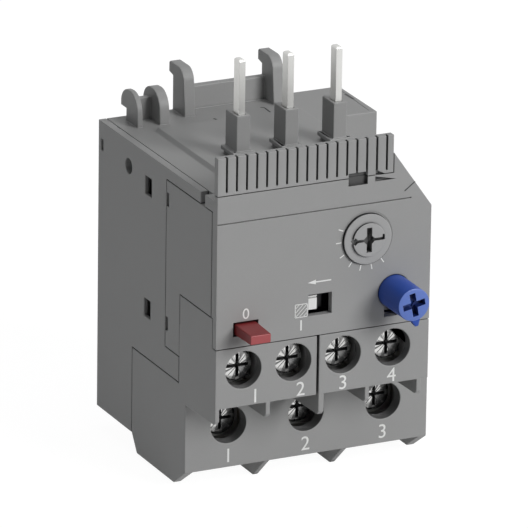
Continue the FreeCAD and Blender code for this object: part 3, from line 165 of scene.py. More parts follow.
class RelayColours(bpy.types.PropertyGroup):
    casing: colour("Casing", "Grey moulding", 0.287, 0.287, 0.285)
    dial: colour("Dial", "Grey setting dial", 0.33, 0.33, 0.33)
    knob: colour("Knob", "Blue reset knob", 0.018, 0.066, 0.35)
    # knob_face: painted light on the knob's front face
    knob_face: colour("Knob face", "Painted light on the front of the knob", 0.105, 0.175, 0.50)
    # knob_slot: painted shade in the knob's cross
    knob_slot: colour("Knob slot", "Painted shade in the knob's cross", 0.012, 0.03, 0.16)
    key: colour("Key", "Red stop key", 0.215, 0.025, 0.027)
    # key_face: painted light on the key's front face
    key_face: colour("Key face", "Painted light on the front of the stop key", 0.34, 0.07, 0.075)
    chrome: colour("Screw plating", "Bright zinc", 0.66, 0.66, 0.65)
    reflection_shade_chrome: colour("Painted dark reflection", "Shaded sectors of a screw head", 0.25, 0.25, 0.25)
    pin: colour("Pin metal", "Tinned pins", 0.60, 0.60, 0.585)
    zinc: colour("Clamp plating", "Zinc of the terminal clamps", 0.5, 0.5, 0.49)
    copper: colour("Bar metal", "Terminal bars", 0.72, 0.50, 0.28)
    bimetal: colour("Bimetal", "Rolled bimetal strips", 0.52, 0.50, 0.46)
    ribbon: colour("Heater ribbon", "Heater windings", 0.42, 0.36, 0.30)
    wire: colour("Spring wire", "Steel of the two springs", 0.56, 0.56, 0.55)
    white: colour("Slider", "White slider and print", 0.74, 0.74, 0.73)
    # dark: the inner mouldings' own colour, also used as painted shade in screw crosses, dial walls and dark
    # plates
    dark: colour("Inner parts", "Dark inner mouldings", 0.035, 0.035, 0.037)
    bore: colour("Bores", "Plastic in the shade of the screw holes", 0.11, 0.11, 0.11)
    recess: colour("Recesses", "Shaded plastic in small recesses", 0.07, 0.07, 0.07)


def sizes():
    return bpy.context.scene.relay_sizes


def colours():
    return bpy.context.scene.relay_colours


# Node groups and materials

class Wiring:
    """Adds nodes to one tree and links them."""

    def __init__(self, tree):
        self.nodes, self.links = tree.nodes, tree.links

    def feed(self, socket, value):
        """Give a socket a constant, or a link from another socket."""
        if isinstance(value, bpy.types.NodeSocket):
            self.links.new(value, socket)
        else:
            socket.default_value = value

    def maths(self, operation, first, second):
        node = self.nodes.new("ShaderNodeMath")
        node.operation = operation
        self.feed(node.inputs[0], first)
        self.feed(node.inputs[1], second)
        return node.outputs[0]

    def noise(self, place, scale, detail):
        node = self.nodes.new("ShaderNodeTexNoise")
        for name, value in (("Vector", place), ("Scale", scale), ("Detail", detail)):
            self.feed(node.inputs[name], value)
        return node.outputs["Fac"]

    def ramp(self, value, start, end, least=0.0):
        """Map the stretch from start to end onto the stretch from least to one."""
        node = self.nodes.new("ShaderNodeMapRange")
        for name, setting in (("Value", value), ("From Min", start), ("From Max", end), ("To Min", least)):
            self.feed(node.inputs[name], setting)
        return node.outputs["Result"]

    def mix(self, blend, share, first, second):
        node = self.nodes.new("ShaderNodeMix")
        node.data_type = "RGBA"
        node.blend_type = blend
        for place, value in (("Factor", share), (MIX_FIRST, first), (MIX_SECOND, second)):
            self.feed(node.inputs[place], value)
        return node.outputs[MIX_RESULT]

    def mix_shaders(self, share, first, second):
        node = self.nodes.new("ShaderNodeMixShader")
        for socket, value in zip(node.inputs, (share, first, second)):
            self.links.new(value, socket)
        return node.outputs["Shader"]

    def seen(self):
        """One for rays from the camera and for those that a glossy or clear surface passes on."""
        path = self.nodes.new("ShaderNodeLightPath")
        total = path.outputs["Is Camera Ray"]
        for kind in ("Is Glossy Ray", "Is Transmission Ray"):
            total = self.maths("ADD", total, path.outputs[kind])
        return total


def start_group(name, base, numbers):
    """A node group that takes a colour and the given numbers, and gives colour, roughness and height."""
    group = bpy.data.node_groups.new(name, "ShaderNodeTree")
    sockets = [("Colour", "INPUT", "Color", base)]
    sockets += [(label, "INPUT", "Float", value) for label, value in numbers.items()]
    sockets += [("Colour", "OUTPUT", "Color", None), ("Roughness", "OUTPUT", "Float", None),
                ("Height", "OUTPUT", "Float", None)]
    for label, way, kind, value in sockets:
        socket = group.interface.new_socket(name=label, in_out=way, socket_type="NodeSocket" + kind)
        if value is not None:
            socket.default_value = value
    enter, leave = group.nodes.new("NodeGroupInput"), group.nodes.new("NodeGroupOutput")
    return group, enter.outputs, leave.inputs


def grain_group():
    """Spark-eroded mould texture: fine bump, faint mottling, edges lightened as rubbed wear and painted
    highlight, and painted shade darkening the crevices.
    """
    group = bpy.data.node_groups.get("moulded_grain")
    if group:
        return group
    group, given, result = start_group(
        "moulded_grain", (0.3, 0.3, 0.3, 1),
        {"Grain Scale": 4000.0, "Mottle": 0.05, "Roughness": 0.45, "Edge Wear": 0.25})
    wiring = Wiring(group)
    place = wiring.nodes.new("ShaderNodeTexCoord").outputs["Object"]
    fine = wiring.noise(place, given["Grain Scale"], 3.0)
    cloud = wiring.noise(place, 130.0, 5.0)
    swing = wiring.maths("MULTIPLY", wiring.maths("SUBTRACT", cloud, 0.5), given["Mottle"])
    speck = wiring.maths("MULTIPLY", wiring.maths("SUBTRACT", fine, 0.5), 0.05)
    shade = wiring.maths("ADD", wiring.maths("ADD", swing, speck), 1.0)
    mottled = wiring.mix("MULTIPLY", 1.0, given["Colour"], shade)
    surface = wiring.nodes.new("ShaderNodeNewGeometry")
    rounded = wiring.nodes.new("ShaderNodeBevel")
    rounded.samples = 4
    rounded.inputs["Radius"].default_value = RUB_RADIUS
    agree = wiring.nodes.new("ShaderNodeVectorMath")
    agree.operation = "DOT_PRODUCT"
    wiring.feed(agree.inputs[0], rounded.outputs["Normal"])
    wiring.feed(agree.inputs[1], surface.outputs["Normal"])
    # edges lightened: partly rubbed wear, partly a painted highlight along the rounded edges
    rubbed_and_lit = wiring.maths("MULTIPLY", wiring.ramp(agree.outputs["Value"], 0.99, 0.85), given["Edge Wear"])
    worn_and_lit = wiring.mix("MIX", rubbed_and_lit, mottled, RUBBED_AND_LIT_GREY)
    # painted shade: ambient occlusion darkens the colour in crevices, seams and under overhangs
    crevice_shade = wiring.nodes.new("ShaderNodeAmbientOcclusion")
    crevice_shade.samples = 8
    crevice_shade.inputs["Distance"].default_value = CREVICE_SHADE_REACH
    openness = wiring.ramp(crevice_shade.outputs["AO"], 0.15, 0.8, 0.12)
    wiring.feed(result["Colour"], wiring.mix("MULTIPLY", 1.0, worn_and_lit, openness))
    wiring.feed(result["Roughness"], wiring.maths("ADD", given["Roughness"], swing))
    wiring.feed(result["Height"], fine)
    return group


def plating_group():
    """Plated or rolled metal: drawn streaks, tarnish clouds and small pits."""
    group = bpy.data.node_groups.get("plated_metal")
    if group:
        return group
    group, given, result = start_group(
        "plated_metal", (0.8, 0.8, 0.8, 1), {"Streak Scale": 900.0, "Tarnish": 0.2, "Roughness": 0.25})
    wiring = Wiring(group)
    place = wiring.nodes.new("ShaderNodeTexCoord").outputs["Object"]
    stretch = wiring.nodes.new("ShaderNodeMapping")
    stretch.inputs["Scale"].default_value = (1.0, 0.35, 0.12)
    wiring.feed(stretch.inputs["Vector"], place)
    streak = wiring.noise(stretch.outputs["Vector"], given["Streak Scale"], 4.0)
    cloud = wiring.noise(place, 420.0, 6.0)
    amount = wiring.maths("MULTIPLY", wiring.ramp(cloud, 0.45, 0.75), given["Tarnish"])
    swing = wiring.maths("MULTIPLY", wiring.maths("SUBTRACT", streak, 0.5), 0.2)
    rough = wiring.maths("ADD", given["Roughness"], swing)
    wiring.feed(result["Colour"], wiring.mix("MULTIPLY", amount, given["Colour"], TARNISH))
    wiring.feed(result["Roughness"], wiring.maths("ADD", rough, wiring.maths("MULTIPLY", amount, 0.5)))
    wiring.feed(result["Height"], streak)
    return group


def finish_material(name, group, values, metallic, bump, specular):
    material = bpy.data.materials.get(name)
    if material:
        return material
    material = bpy.data.materials.new(name)
    material.use_nodes = True
    nodes, links = material.node_tree.nodes, material.node_tree.links
    shader = nodes["Principled BSDF"]
    shader.inputs["Metallic"].default_value = metallic
    shader.inputs["Specular IOR Level"].default_value = specular
    effect = nodes.new("ShaderNodeGroup")
    effect.node_tree = group
    for key, value in values.items():
        effect.inputs[key].default_value = value
    relief = nodes.new("ShaderNodeBump")
    relief.inputs["Strength"].default_value = bump
    relief.inputs["Distance"].default_value = BUMP_HEIGHT
    links.new(effect.outputs["Colour"], shader.inputs["Base Color"])
    links.new(effect.outputs["Roughness"], shader.inputs["Roughness"])
    links.new(effect.outputs["Height"], relief.inputs["Height"])
    links.new(relief.outputs["Normal"], shader.inputs["Normal"])
    return material


def plastic(name):
    paint, roughness, mottle, bump, wear = PLASTICS[name]
    values = {"Colour": tuple(getattr(colours(), paint)), "Grain Scale": 1.0 / sizes().grain_size,
              "Mottle": mottle, "Roughness": roughness, "Edge Wear": wear}
    return finish_material(name, grain_group(), values, 0.0, bump, PLASTIC_SPECULAR)


def metal(name):
    paint, roughness, tarnish, streaks = METALS[name]
    values = {"Colour": tuple(getattr(colours(), paint)), "Streak Scale": streaks, "Tarnish": tarnish,
              "Roughness": roughness}
    return finish_material(name, plating_group(), values, 1.0, METAL_BUMP, METAL_SPECULAR)


# Mesh helpers

def in_scene(name, data):
    item = bpy.data.objects.new(name, data)
    bpy.context.scene.collection.objects.link(item)
    return item


def to_object(name, bm, material, body, sharp=PLAIN_SHARP):
    """A piece from the shape, with edges sharp from the given angle, on its body and with its slot."""
    bmesh.ops.recalc_face_normals(bm, faces=bm.faces)
    mesh = bpy.data.meshes.new(name)
    bm.to_mesh(mesh)
    bm.free()
    mesh.materials.append(material)
    mesh.shade_smooth()
    mesh.set_sharp_from_angle(angle=math.radians(sharp))
    piece = in_scene(name, mesh)
    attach(piece, body)
    return piece


def settle(piece):
    """Keep the mesh that the piece's modifiers make, and drop the modifiers."""
    bpy.context.view_layer.update()
    shaped = piece.evaluated_get(bpy.context.evaluated_depsgraph_get())
    result = bpy.data.meshes.new_from_object(shaped)
    piece.modifiers.clear()
    old = piece.data
    piece.data = result
    bpy.data.meshes.remove(old)


def sharpen(piece, angle):
    piece.data.set_sharp_from_angle(angle=math.radians(angle))


def flatten_planes(piece):
    """Edges between a wide plane and a sliver turn sharp, so that slivers don't bend the plane's shading."""
    wide = 10
    bm = bmesh.new()
    bm.from_mesh(piece.data)
    for edge in bm.edges:
        areas = sorted(face.calc_area() for face in edge.link_faces)
        if len(areas) == 2 and areas[1] > wide * areas[0]:
            edge.smooth = False
    bm.to_mesh(piece.data)
    bm.free()


def node_shape(node):
    """The node's own shape with its loose triangles joined."""
    bm = bmesh.new()
    bm.from_mesh(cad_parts[node].data)
    bmesh.ops.remove_doubles(bm, verts=bm.verts, dist=NODE_MERGE)
    return bm


def softened_copy(node, name, material, body, width):
    """The node's own shape with its edges rounded and its planes flat."""
    bm = node_shape(node)
    bmesh.ops.dissolve_limit(bm, angle_limit=math.radians(FLAT_WITHIN), verts=bm.verts, edges=bm.edges)
    piece = to_object(name, bm, material, body)
    rounding = piece.modifiers.new("edge_rounding", "BEVEL")
    rounding.width = width
    rounding.segments = 2
    rounding.limit_method = "ANGLE"
    rounding.angle_limit = math.radians(ROUND_FROM)
    rounding.use_clamp_overlap = False
    settle(piece)
    sharpen(piece, MOULDED_SHARP)
    flatten_planes(piece)
    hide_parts(node)
    return piece


def dress(node, material):
    """A carried-over node keeps its shape and gets its finish."""
    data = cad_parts[node].data
    data.materials.clear()
    data.materials.append(material)


def turned(bm, profile, segments):
    """A turned solid about the depth axis: the profile is (radius, forward) pairs from axis to axis."""
    verts = [bm.verts.new((radius, -forward, 0)) for radius, forward in profile]
    edges = [bm.edges.new((verts[i], verts[i + 1])) for i in range(len(verts) - 1)]
    bmesh.ops.spin(bm, geom=verts + edges, cent=(0, 0, 0), axis=(0, 1, 0), angle=math.tau, steps=segments,
                   use_merge=True)
    bmesh.ops.remove_doubles(bm, verts=bm.verts, dist=MERGE)


def block(bm, size, centre, turn=0.0, taper=1.0):
    """A box about centre, turned about the depth axis, its back end scaled by taper."""
    made = bmesh.ops.create_cube(bm, size=1.0)["verts"]
    for vert in made:
        scale = taper if vert.co.y > 0 else 1.0
        vert.co = Vector((vert.co.x * size[0] * scale, vert.co.y * size[1], vert.co.z * size[2] * scale))
    bmesh.ops.rotate(bm, cent=(0, 0, 0), matrix=Matrix.Rotation(turn, 3, "Y"), verts=made)
    bmesh.ops.translate(bm, vec=centre, verts=made)


def wedge(bm, outline, front, back):
    """A three-cornered prism along the depth axis over an outline of (x, z) corners."""
    made = bmesh.ops.create_cube(bm, size=1.0)["verts"]
    for vert in made:
        x, z = outline[2] if vert.co.x > 0 else outline[1 if vert.co.z > 0 else 0]
        vert.co = corner(x, front if vert.co.y < 0 else back, z)
    bmesh.ops.remove_doubles(bm, verts=made, dist=MERGE)


def cut_away(piece, cutter_bm):
    """Subtract the cutter's shape from the piece and keep the result."""
    bmesh.ops.recalc_face_normals(cutter_bm, faces=cutter_bm.faces)
    cutter_mesh = bpy.data.meshes.new("cutter")
    cutter_bm.to_mesh(cutter_mesh)
    cutter_bm.free()
    cutter = in_scene("cutter", cutter_mesh)
    change = piece.modifiers.new("recess", "BOOLEAN")
    change.operation = "DIFFERENCE"
    change.solver = "EXACT"
    change.use_self = True
    change.object = cutter
    settle(piece)
    bpy.data.objects.remove(cutter)
    bpy.data.meshes.remove(cutter_mesh)


def from_axis(polygon):
    return math.hypot(polygon.center.x, polygon.center.z)


def paint_faces(piece, material, wanted):
    """The wanted faces take one more material."""
    piece.data.materials.append(material)
    for polygon in piece.data.polygons:
        if wanted(polygon):
            polygon.material_index = len(piece.data.materials) - 1


def darken_recess(piece, face, reach, material):
    """The walls and floor of a driver recess, behind the turned face, take a darker material: painted shade.
    """
    wall_start, floor_start, end = 0.02 * MM, 0.3 * MM, 1.6 * MM

    def inside(polygon):
        start = wall_start if abs(polygon.normal.y) < 0.9 else floor_start
        return from_axis(polygon) < reach and start < polygon.center.y + face < end

    paint_faces(piece, material, inside)


def tint(piece, low, high, material):
    """The faces whose middles lie between two corners take one more material."""
    paint_faces(piece, material,
                lambda polygon: all(low[axis] <= polygon.center[axis] <= high[axis] for axis in range(3)))


def shift_mesh(piece, to):
    piece.data.transform(Matrix.Translation(to))


# Operators, one for each piece or group of like pieces

class RELAY_OT_casing(bpy.types.Operator):
    """Give the six casing mouldings rounded edges and grained grey plastic"""
    bl_idname = "relay.casing"
    bl_label = "Casing"

    def execute(self, context):
        grey = plastic("grey_casing_plastic")
        width = sizes().edge_round
        fine = width * 0.4
        softened_copy("left_side_cover", "side_cover_shell", grey, "relay", width)
        softened_copy("rear_housing", "rear_shell", grey, "relay", width)
        softened_copy("mechanism_housing", "mechanism_shell", grey, "relay", width)
        terminals = softened_copy("terminal_housing", "terminal_shell", grey, "relay", width)
        self.shade_bores(terminals)
        cover = softened_copy("front_cover", "front_shell", grey, "relay", fine)
        comb = softened_copy("top_comb", "comb_strip", grey, "relay", fine)
        recess_low, recess_high = corner(23.7, 46.95, 53.9), corner(27.4, 46.0, 56.6)
        for piece in (cover, comb):
            tint(piece, recess_low, recess_high, plastic("shaded_recess_plastic"))
        notch = bmesh.new()
        notch_outline = ((28.76, 54.4), (28.71, 56.4), (32.25, 54.45))
        wedge(notch, notch_outline, 47.3, 46.4)
        cut_away(comb, notch)
        sharpen(comb, MOULDED_SHARP)
        return {"FINISHED"}

    def shade_bores(self, shell):
        """The walls of the seven screw holes take a darker plastic: painted shade."""
        reach = 3.4 * MM
        boxes = [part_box(f"{kind}_screw_{index}") for kind, index in TERMINALS]
        axes = [((low.x + high.x) / 2, (low.z + high.z) / 2) for low, high in boxes]

        def in_bore(polygon):
            spot = polygon.center
            return abs(polygon.normal.y) < 0.5 and any(math.hypot(spot.x - x, spot.z - z) < reach
                                                       for x, z in axes)

        paint_faces(shell, plastic("shaded_bore_plastic"), in_bore)


class RELAY_OT_pins(bpy.types.Operator):
    """Round the edges of the three connection pins and tin them"""
    bl_idname = "relay.pins"
    bl_label = "Connection pins"

    def execute(self, context):
        tin = metal("tinned_pin")
        for index in range(1, 4):
            softened_copy(f"connection_pin_{index}", f"tinned_pin_{index}", tin, "relay",
                          0.08 * MM)
        return {"FINISHED"}


class RELAY_OT_terminal_screws(bpy.types.Operator):
    """Turn the seven terminal screws with crossed recesses and radial marks"""
    bl_idname = "relay.terminal_screws"
    bl_label = "Terminal screws"

    def execute(self, context):
        for kind, index in TERMINALS:
            self.screw(f"{kind}_screw_{index}", f"{kind}_screw_body_{index}")
        return {"FINISHED"}

    def screw(self, node, body):
        low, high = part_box(node)
        head = (high.x - low.x) / 2
        centre = Vector(((low.x + high.x) / 2, 0, (low.z + high.z) / 2))
        face, back = -low.y, -high.y
        aux = node.startswith("aux")
        under = face - (1.8 if aux else 2.0) * MM
        shank = (1.45 if aux else 1.9) * MM
        rim = sizes().screw_round
        crown = 0.12 * MM
        profile = [(0, face), (head * 0.55, face - crown / 4), (head - rim, face - crown)]
        steps = 4
        for step in range(1, steps + 1):
            angle = math.radians(90 * step / steps)
            profile.append((head - rim + rim * math.sin(angle), face - crown - rim * (1 - math.cos(angle))))
        profile += [(head, under), (shank, under), (shank, back + 0.3 * MM), (shank * 0.9, back), (0, back)]
        bm = bmesh.new()
        turned(bm, profile, sizes().head_segments)
        zinc = metal("bright_screw_plating")
        piece = to_object(node + "_plated", bm, zinc, body, SCREW_SHARP)
        cut_away(piece, self.driver_recess(head, face))
        # painted shade: the driver cross is coloured dark
        darken_recess(piece, face, head * 0.78, plastic("dark_inner_plastic"))
        # painted reflection: darker sectors on the head
        self.reflection_shade_sectors(piece, head)
        shift_mesh(piece, centre)
        sharpen(piece, SCREW_SHARP)
        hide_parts(node)

    def driver_recess(self, head, face):
        """A driver's cross with a square middle, and fine pressed lines across the head."""
        cutter = bmesh.new()
        slot = (head * 1.5, 1.5 * MM, 0.62 * MM)
        for turn in (0.0, math.pi / 2):
            block(cutter, slot, Vector((0, -face + 0.35 * MM, 0)), turn, 0.86)
        middle = (1.2 * MM, 2.4 * MM, 1.2 * MM)
        block(cutter, middle, Vector((0, -face + 0.6 * MM, 0)), math.pi / 4, 0.6)
        wide_line = (head * 1.62, 0.4 * MM, 0.13 * MM)
        fine_line = (head * 1.45, 0.36 * MM, 0.07 * MM)
        for line, turns in ((wide_line, (2, -2)), (fine_line, (1, -1, 3, -3))):
            for eighths in turns:
                block(cutter, line, Vector((0, -face, 0)), eighths * math.pi / 8)
        return cutter

    def reflection_shade_sectors(self, piece, head):
        """Painted reflection: sectors of the pressed head, in degrees, coloured darker where its sheen is
        dark.
        """
        sectors = ((12, 30), (58, 76), (118, 132), (160, 172), (195, 210), (246, 262), (284, 350))
        plating = 0

        def in_sector(polygon):
            angle = math.degrees(math.atan2(polygon.center.z, polygon.center.x)) % 360
            faces_front = polygon.normal.y < -0.3 and from_axis(polygon) > head * 0.2
            return (polygon.material_index == plating and faces_front
                    and any(low < angle < high for low, high in sectors))

        paint_faces(piece, metal("dull_screw_plating"), in_sector)


class RELAY_OT_clamps(bpy.types.Operator):
    """Plate the seven clamps and finish the terminal bars in plain copper alloy"""
    bl_idname = "relay.clamps"
    bl_label = "Clamps and bars"

    def execute(self, context):
        alloy = metal("bar_copper_alloy")
        for kind, index in TERMINALS:
            dress(f"{kind}_clamp_{index}", metal("clamp_zinc"))
            dress(f"{kind}_terminal_bar_{index}", alloy)
        dress("nc_contact_bridge", alloy)
        dress("no_contact_bridge", alloy)
        return {"FINISHED"}


class RELAY_OT_inner_parts(bpy.types.Operator):
    """Finish the bimetal group, the trip mechanism and the springs"""
    bl_idname = "relay.inner_parts"
    bl_label = "Inner parts"

    def execute(self, context):
        for index in range(1, 4):
            dress(f"bimetal_strip_{index}", metal("rolled_bimetal"))
            dress(f"heater_winding_{index}", metal("heater_ribbon"))
        dress("trip_slider", plastic("trip_slider_white"))
        for node in ("compensating_lever", "setting_lever", "trip_lever", "contact_carrier", "reset_slide"):
            dress(node, plastic("dark_inner_plastic"))
        self.spring("reset_spring", "reset_push", 2.0)
        self.spring("stop_spring", "stop_push", 1.8)
        return {"FINISHED"}

    def spring(self, node, joint, travel):
        """The spring's coil as the node has it, in steel wire; travel is not used."""
        steel = metal("spring_wire_steel")
        piece = to_object(node + "_coil", node_shape(node), steel, "relay", WIRE_SHARP)
        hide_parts(node)
        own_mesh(piece)


class RELAY_OT_dial(bpy.types.Operator):
    """Build the stepped setting dial with its arrow-ended cross slot"""
    bl_idname = "relay.dial"
    bl_label = "Setting dial"

    def execute(self, context):
        centre = corner(DIAL_AXIS[0], 0, DIAL_AXIS[1])
        centre.y = 0
        low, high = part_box("setting_dial")
        face, back = -low.y, -high.y
        base, step = face - 1.75 * MM, face - 0.5 * MM
        knob, disc, stem, cam_radius = 2.9 * MM, 4.35 * MM, 1.95 * MM, 3.0 * MM
        profile = [(0, face), (2.82 * MM, face), (knob, face - 0.06 * MM), (knob, step), (4.27 * MM, step),
                   (disc, step - 0.08 * MM), (disc, base), (stem, base), (stem, back), (0, back)]
        bm = bmesh.new()
        turned(bm, profile, DISC_SEGMENTS)
        cam = bmesh.new()
        cam_front = back + 1.5 * MM
        cam_profile = [(0, cam_front), (cam_radius, cam_front), (cam_radius, back), (0, back)]
        turned(cam, cam_profile, sizes().head_segments)
        eccentric = Vector((0.35, 0, 0.35)) * MM
        bmesh.ops.translate(cam, vec=eccentric + centre, verts=cam.verts)
        grey = plastic("dial_plastic")
        to_object("dial_cam", cam, grey, "dial", DIAL_SHARP)
        piece = to_object("stepped_dial", bm, grey, "dial", DIAL_SHARP)
        cut_away(piece, self.arrow_cross(face))
        # painted shade in the arrow cross
        darken_recess(piece, face, 2.85 * MM, plastic("shaded_bore_plastic"))
        # painted shade on the side walls of the knob and the disc
        inside_knob = 2.8 * MM
        paint_faces(piece, plastic("dark_inner_plastic"),
                    lambda polygon: abs(polygon.normal.y) < 0.5 and from_axis(polygon) > inside_knob
                    and polygon.center.y < -base)
        shift_mesh(piece, centre)
        sharpen(piece, DIAL_SHARP)
        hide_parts("setting_dial")
        self.well_lip(centre)
        return {"FINISHED"}

    def arrow_cross(self, face):
        """A cross slot whose left end is an arrow head and whose right end turns up."""
        cutter = bmesh.new()
        middle = Vector((0, -face, 0))
        depth = 1.3 * MM
        block(cutter, (1.0 * MM, depth * 2, 4.4 * MM), middle, 0.0, 0.95)
        block(cutter, (5.4 * MM, 1.3 * MM, 0.5 * MM), middle, 0.0, 0.95)
        block(cutter, (1.9 * MM, depth * 1.8, 1.9 * MM), middle, math.pi / 4, 0.8)
        block(cutter, (1.0 * MM, 1.1 * MM, 1.0 * MM), Vector((-2.55 * MM, -face, 0)), math.pi / 4, 0.95)
        block(cutter, (0.42 * MM, 1.1 * MM, 0.95 * MM), Vector((2.62 * MM, -face, 0.28 * MM)), 0.0, 0.95)
        return cutter

    def well_lip(self, centre):
        """The moulded lip of the cover that closes the well around the disc."""
        front = -corner(0, COVER_FACE, 0).y - 0.04 * MM
        back = front - 0.7 * MM
        inner, outer = 4.43 * MM, 4.72 * MM
        bm = bmesh.new()
        ring = [(inner, front), (outer, front), (outer, back), (inner, back), (inner, front)]
        turned(bm, ring, DISC_SEGMENTS)
        bmesh.ops.translate(bm, vec=centre, verts=bm.verts)
        to_object("dial_well_lip", bm, plastic("grey_casing_plastic"), "relay", DIAL_SHARP)


class RELAY_OT_reset_button(bpy.types.Operator):
    """Build the blue reset knob with its cross slot and pointing nib"""
    bl_idname = "relay.reset_button"
    bl_label = "Reset knob"

    def execute(self, context):
        low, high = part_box("reset_button")
        centre = corner(KNOB_AXIS[0], 0, KNOB_AXIS[1])
        centre.y = 0
        face, back = -low.y, -high.y
        radius, stem = 2.85 * MM, 1.35 * MM
        bore = face - 5.5 * MM
        profile = [(0, face), (radius - 0.22 * MM, face), (radius - 0.06 * MM, face - 0.07 * MM),
                   (radius, face - 0.24 * MM), (radius, back), (stem, back), (stem, bore), (0, bore)]
        bm = bmesh.new()
        turned(bm, profile, DISC_SEGMENTS)
        blue = plastic("blue_knob_plastic")
        piece = to_object("reset_knob", bm, blue, "reset_knob", KNOB_SHARP)
        middle = Vector((0, -face, 0))
        cutter = bmesh.new()
        tilt = math.radians(-11)
        for turn in (tilt, tilt + math.pi / 2):
            block(cutter, (4.3 * MM, 2.8 * MM, 1.12 * MM), middle, turn, 0.9)
        block(cutter, (1.5 * MM, 3.4 * MM, 1.5 * MM), middle, tilt + math.pi / 4, 0.7)
        cut_away(piece, cutter)
        # painted shade in the knob's cross
        darken_recess(piece, face, 2.6 * MM, plastic("knob_slot_plastic"))
        # painted light: the front face is a lighter blue where the lamps fall on it
        reach = Vector((radius - 0.1 * MM, 0.12 * MM, radius - 0.1 * MM))
        tint(piece, middle - reach, middle + reach, plastic("knob_face_plastic"))
        shift_mesh(piece, centre)
        sharpen(piece, KNOB_SHARP)
        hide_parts("reset_button")
        self.nib(centre, face, radius, blue)
        return {"FINISHED"}

    def nib(self, centre, face, radius, blue):
        """Pointed fin under the knob's front end."""
        bm = bmesh.new()
        for vert in bmesh.ops.create_cube(bm, size=1.0)["verts"]:
            front, outer = vert.co.y < 0, vert.co.z < 0
            half = 0.3 * MM if outer else 0.95 * MM
            reach = 3.95 * MM if outer else radius - 0.5 * MM
            depth = (0.15 if front else (1.0 if outer else 2.4)) * MM
            vert.co = Vector((math.copysign(half, vert.co.x), -(face - depth), -reach))
        bmesh.ops.bevel(bm, geom=list(bm.edges), offset=0.12 * MM, affect="EDGES", segments=2, profile=0.5,
                        material=-1)
        tilt = Matrix.Rotation(math.radians(-10), 3, "Y")
        bmesh.ops.rotate(bm, cent=(0, 0, 0), matrix=tilt, verts=bm.verts)
        bmesh.ops.translate(bm, vec=centre, verts=bm.verts)
        to_object("reset_knob_nib", bm, blue, "reset_knob", KNOB_SHARP)


class RELAY_OT_stop_button(bpy.types.Operator):
    """Finish the red stop key"""
    bl_idname = "relay.stop_button"
    bl_label = "Stop key"

    def execute(self, context):
        piece = softened_copy("stop_button", "stop_key", plastic("red_key_plastic"), "stop_key",
                              0.06 * MM)
        low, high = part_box("stop_button")
        # painted light: the key's front face is a lighter red
        tint(piece, low - Vector((1, 1, 1)) * MM, Vector((high.x, low.y + 0.03 * MM, high.z)),
             plastic("red_key_face_plastic"))
        return {"FINISHED"}


class RELAY_OT_test_slider(bpy.types.Operator):
    """Finish the white test slider"""
    bl_idname = "relay.test_slider"
    bl_label = "Test slider"

    def execute(self, context):
        softened_copy("test_slider", "test_flag", plastic("slider_white_plastic"), "contacts",
                      0.07 * MM)
        return {"FINISHED"}


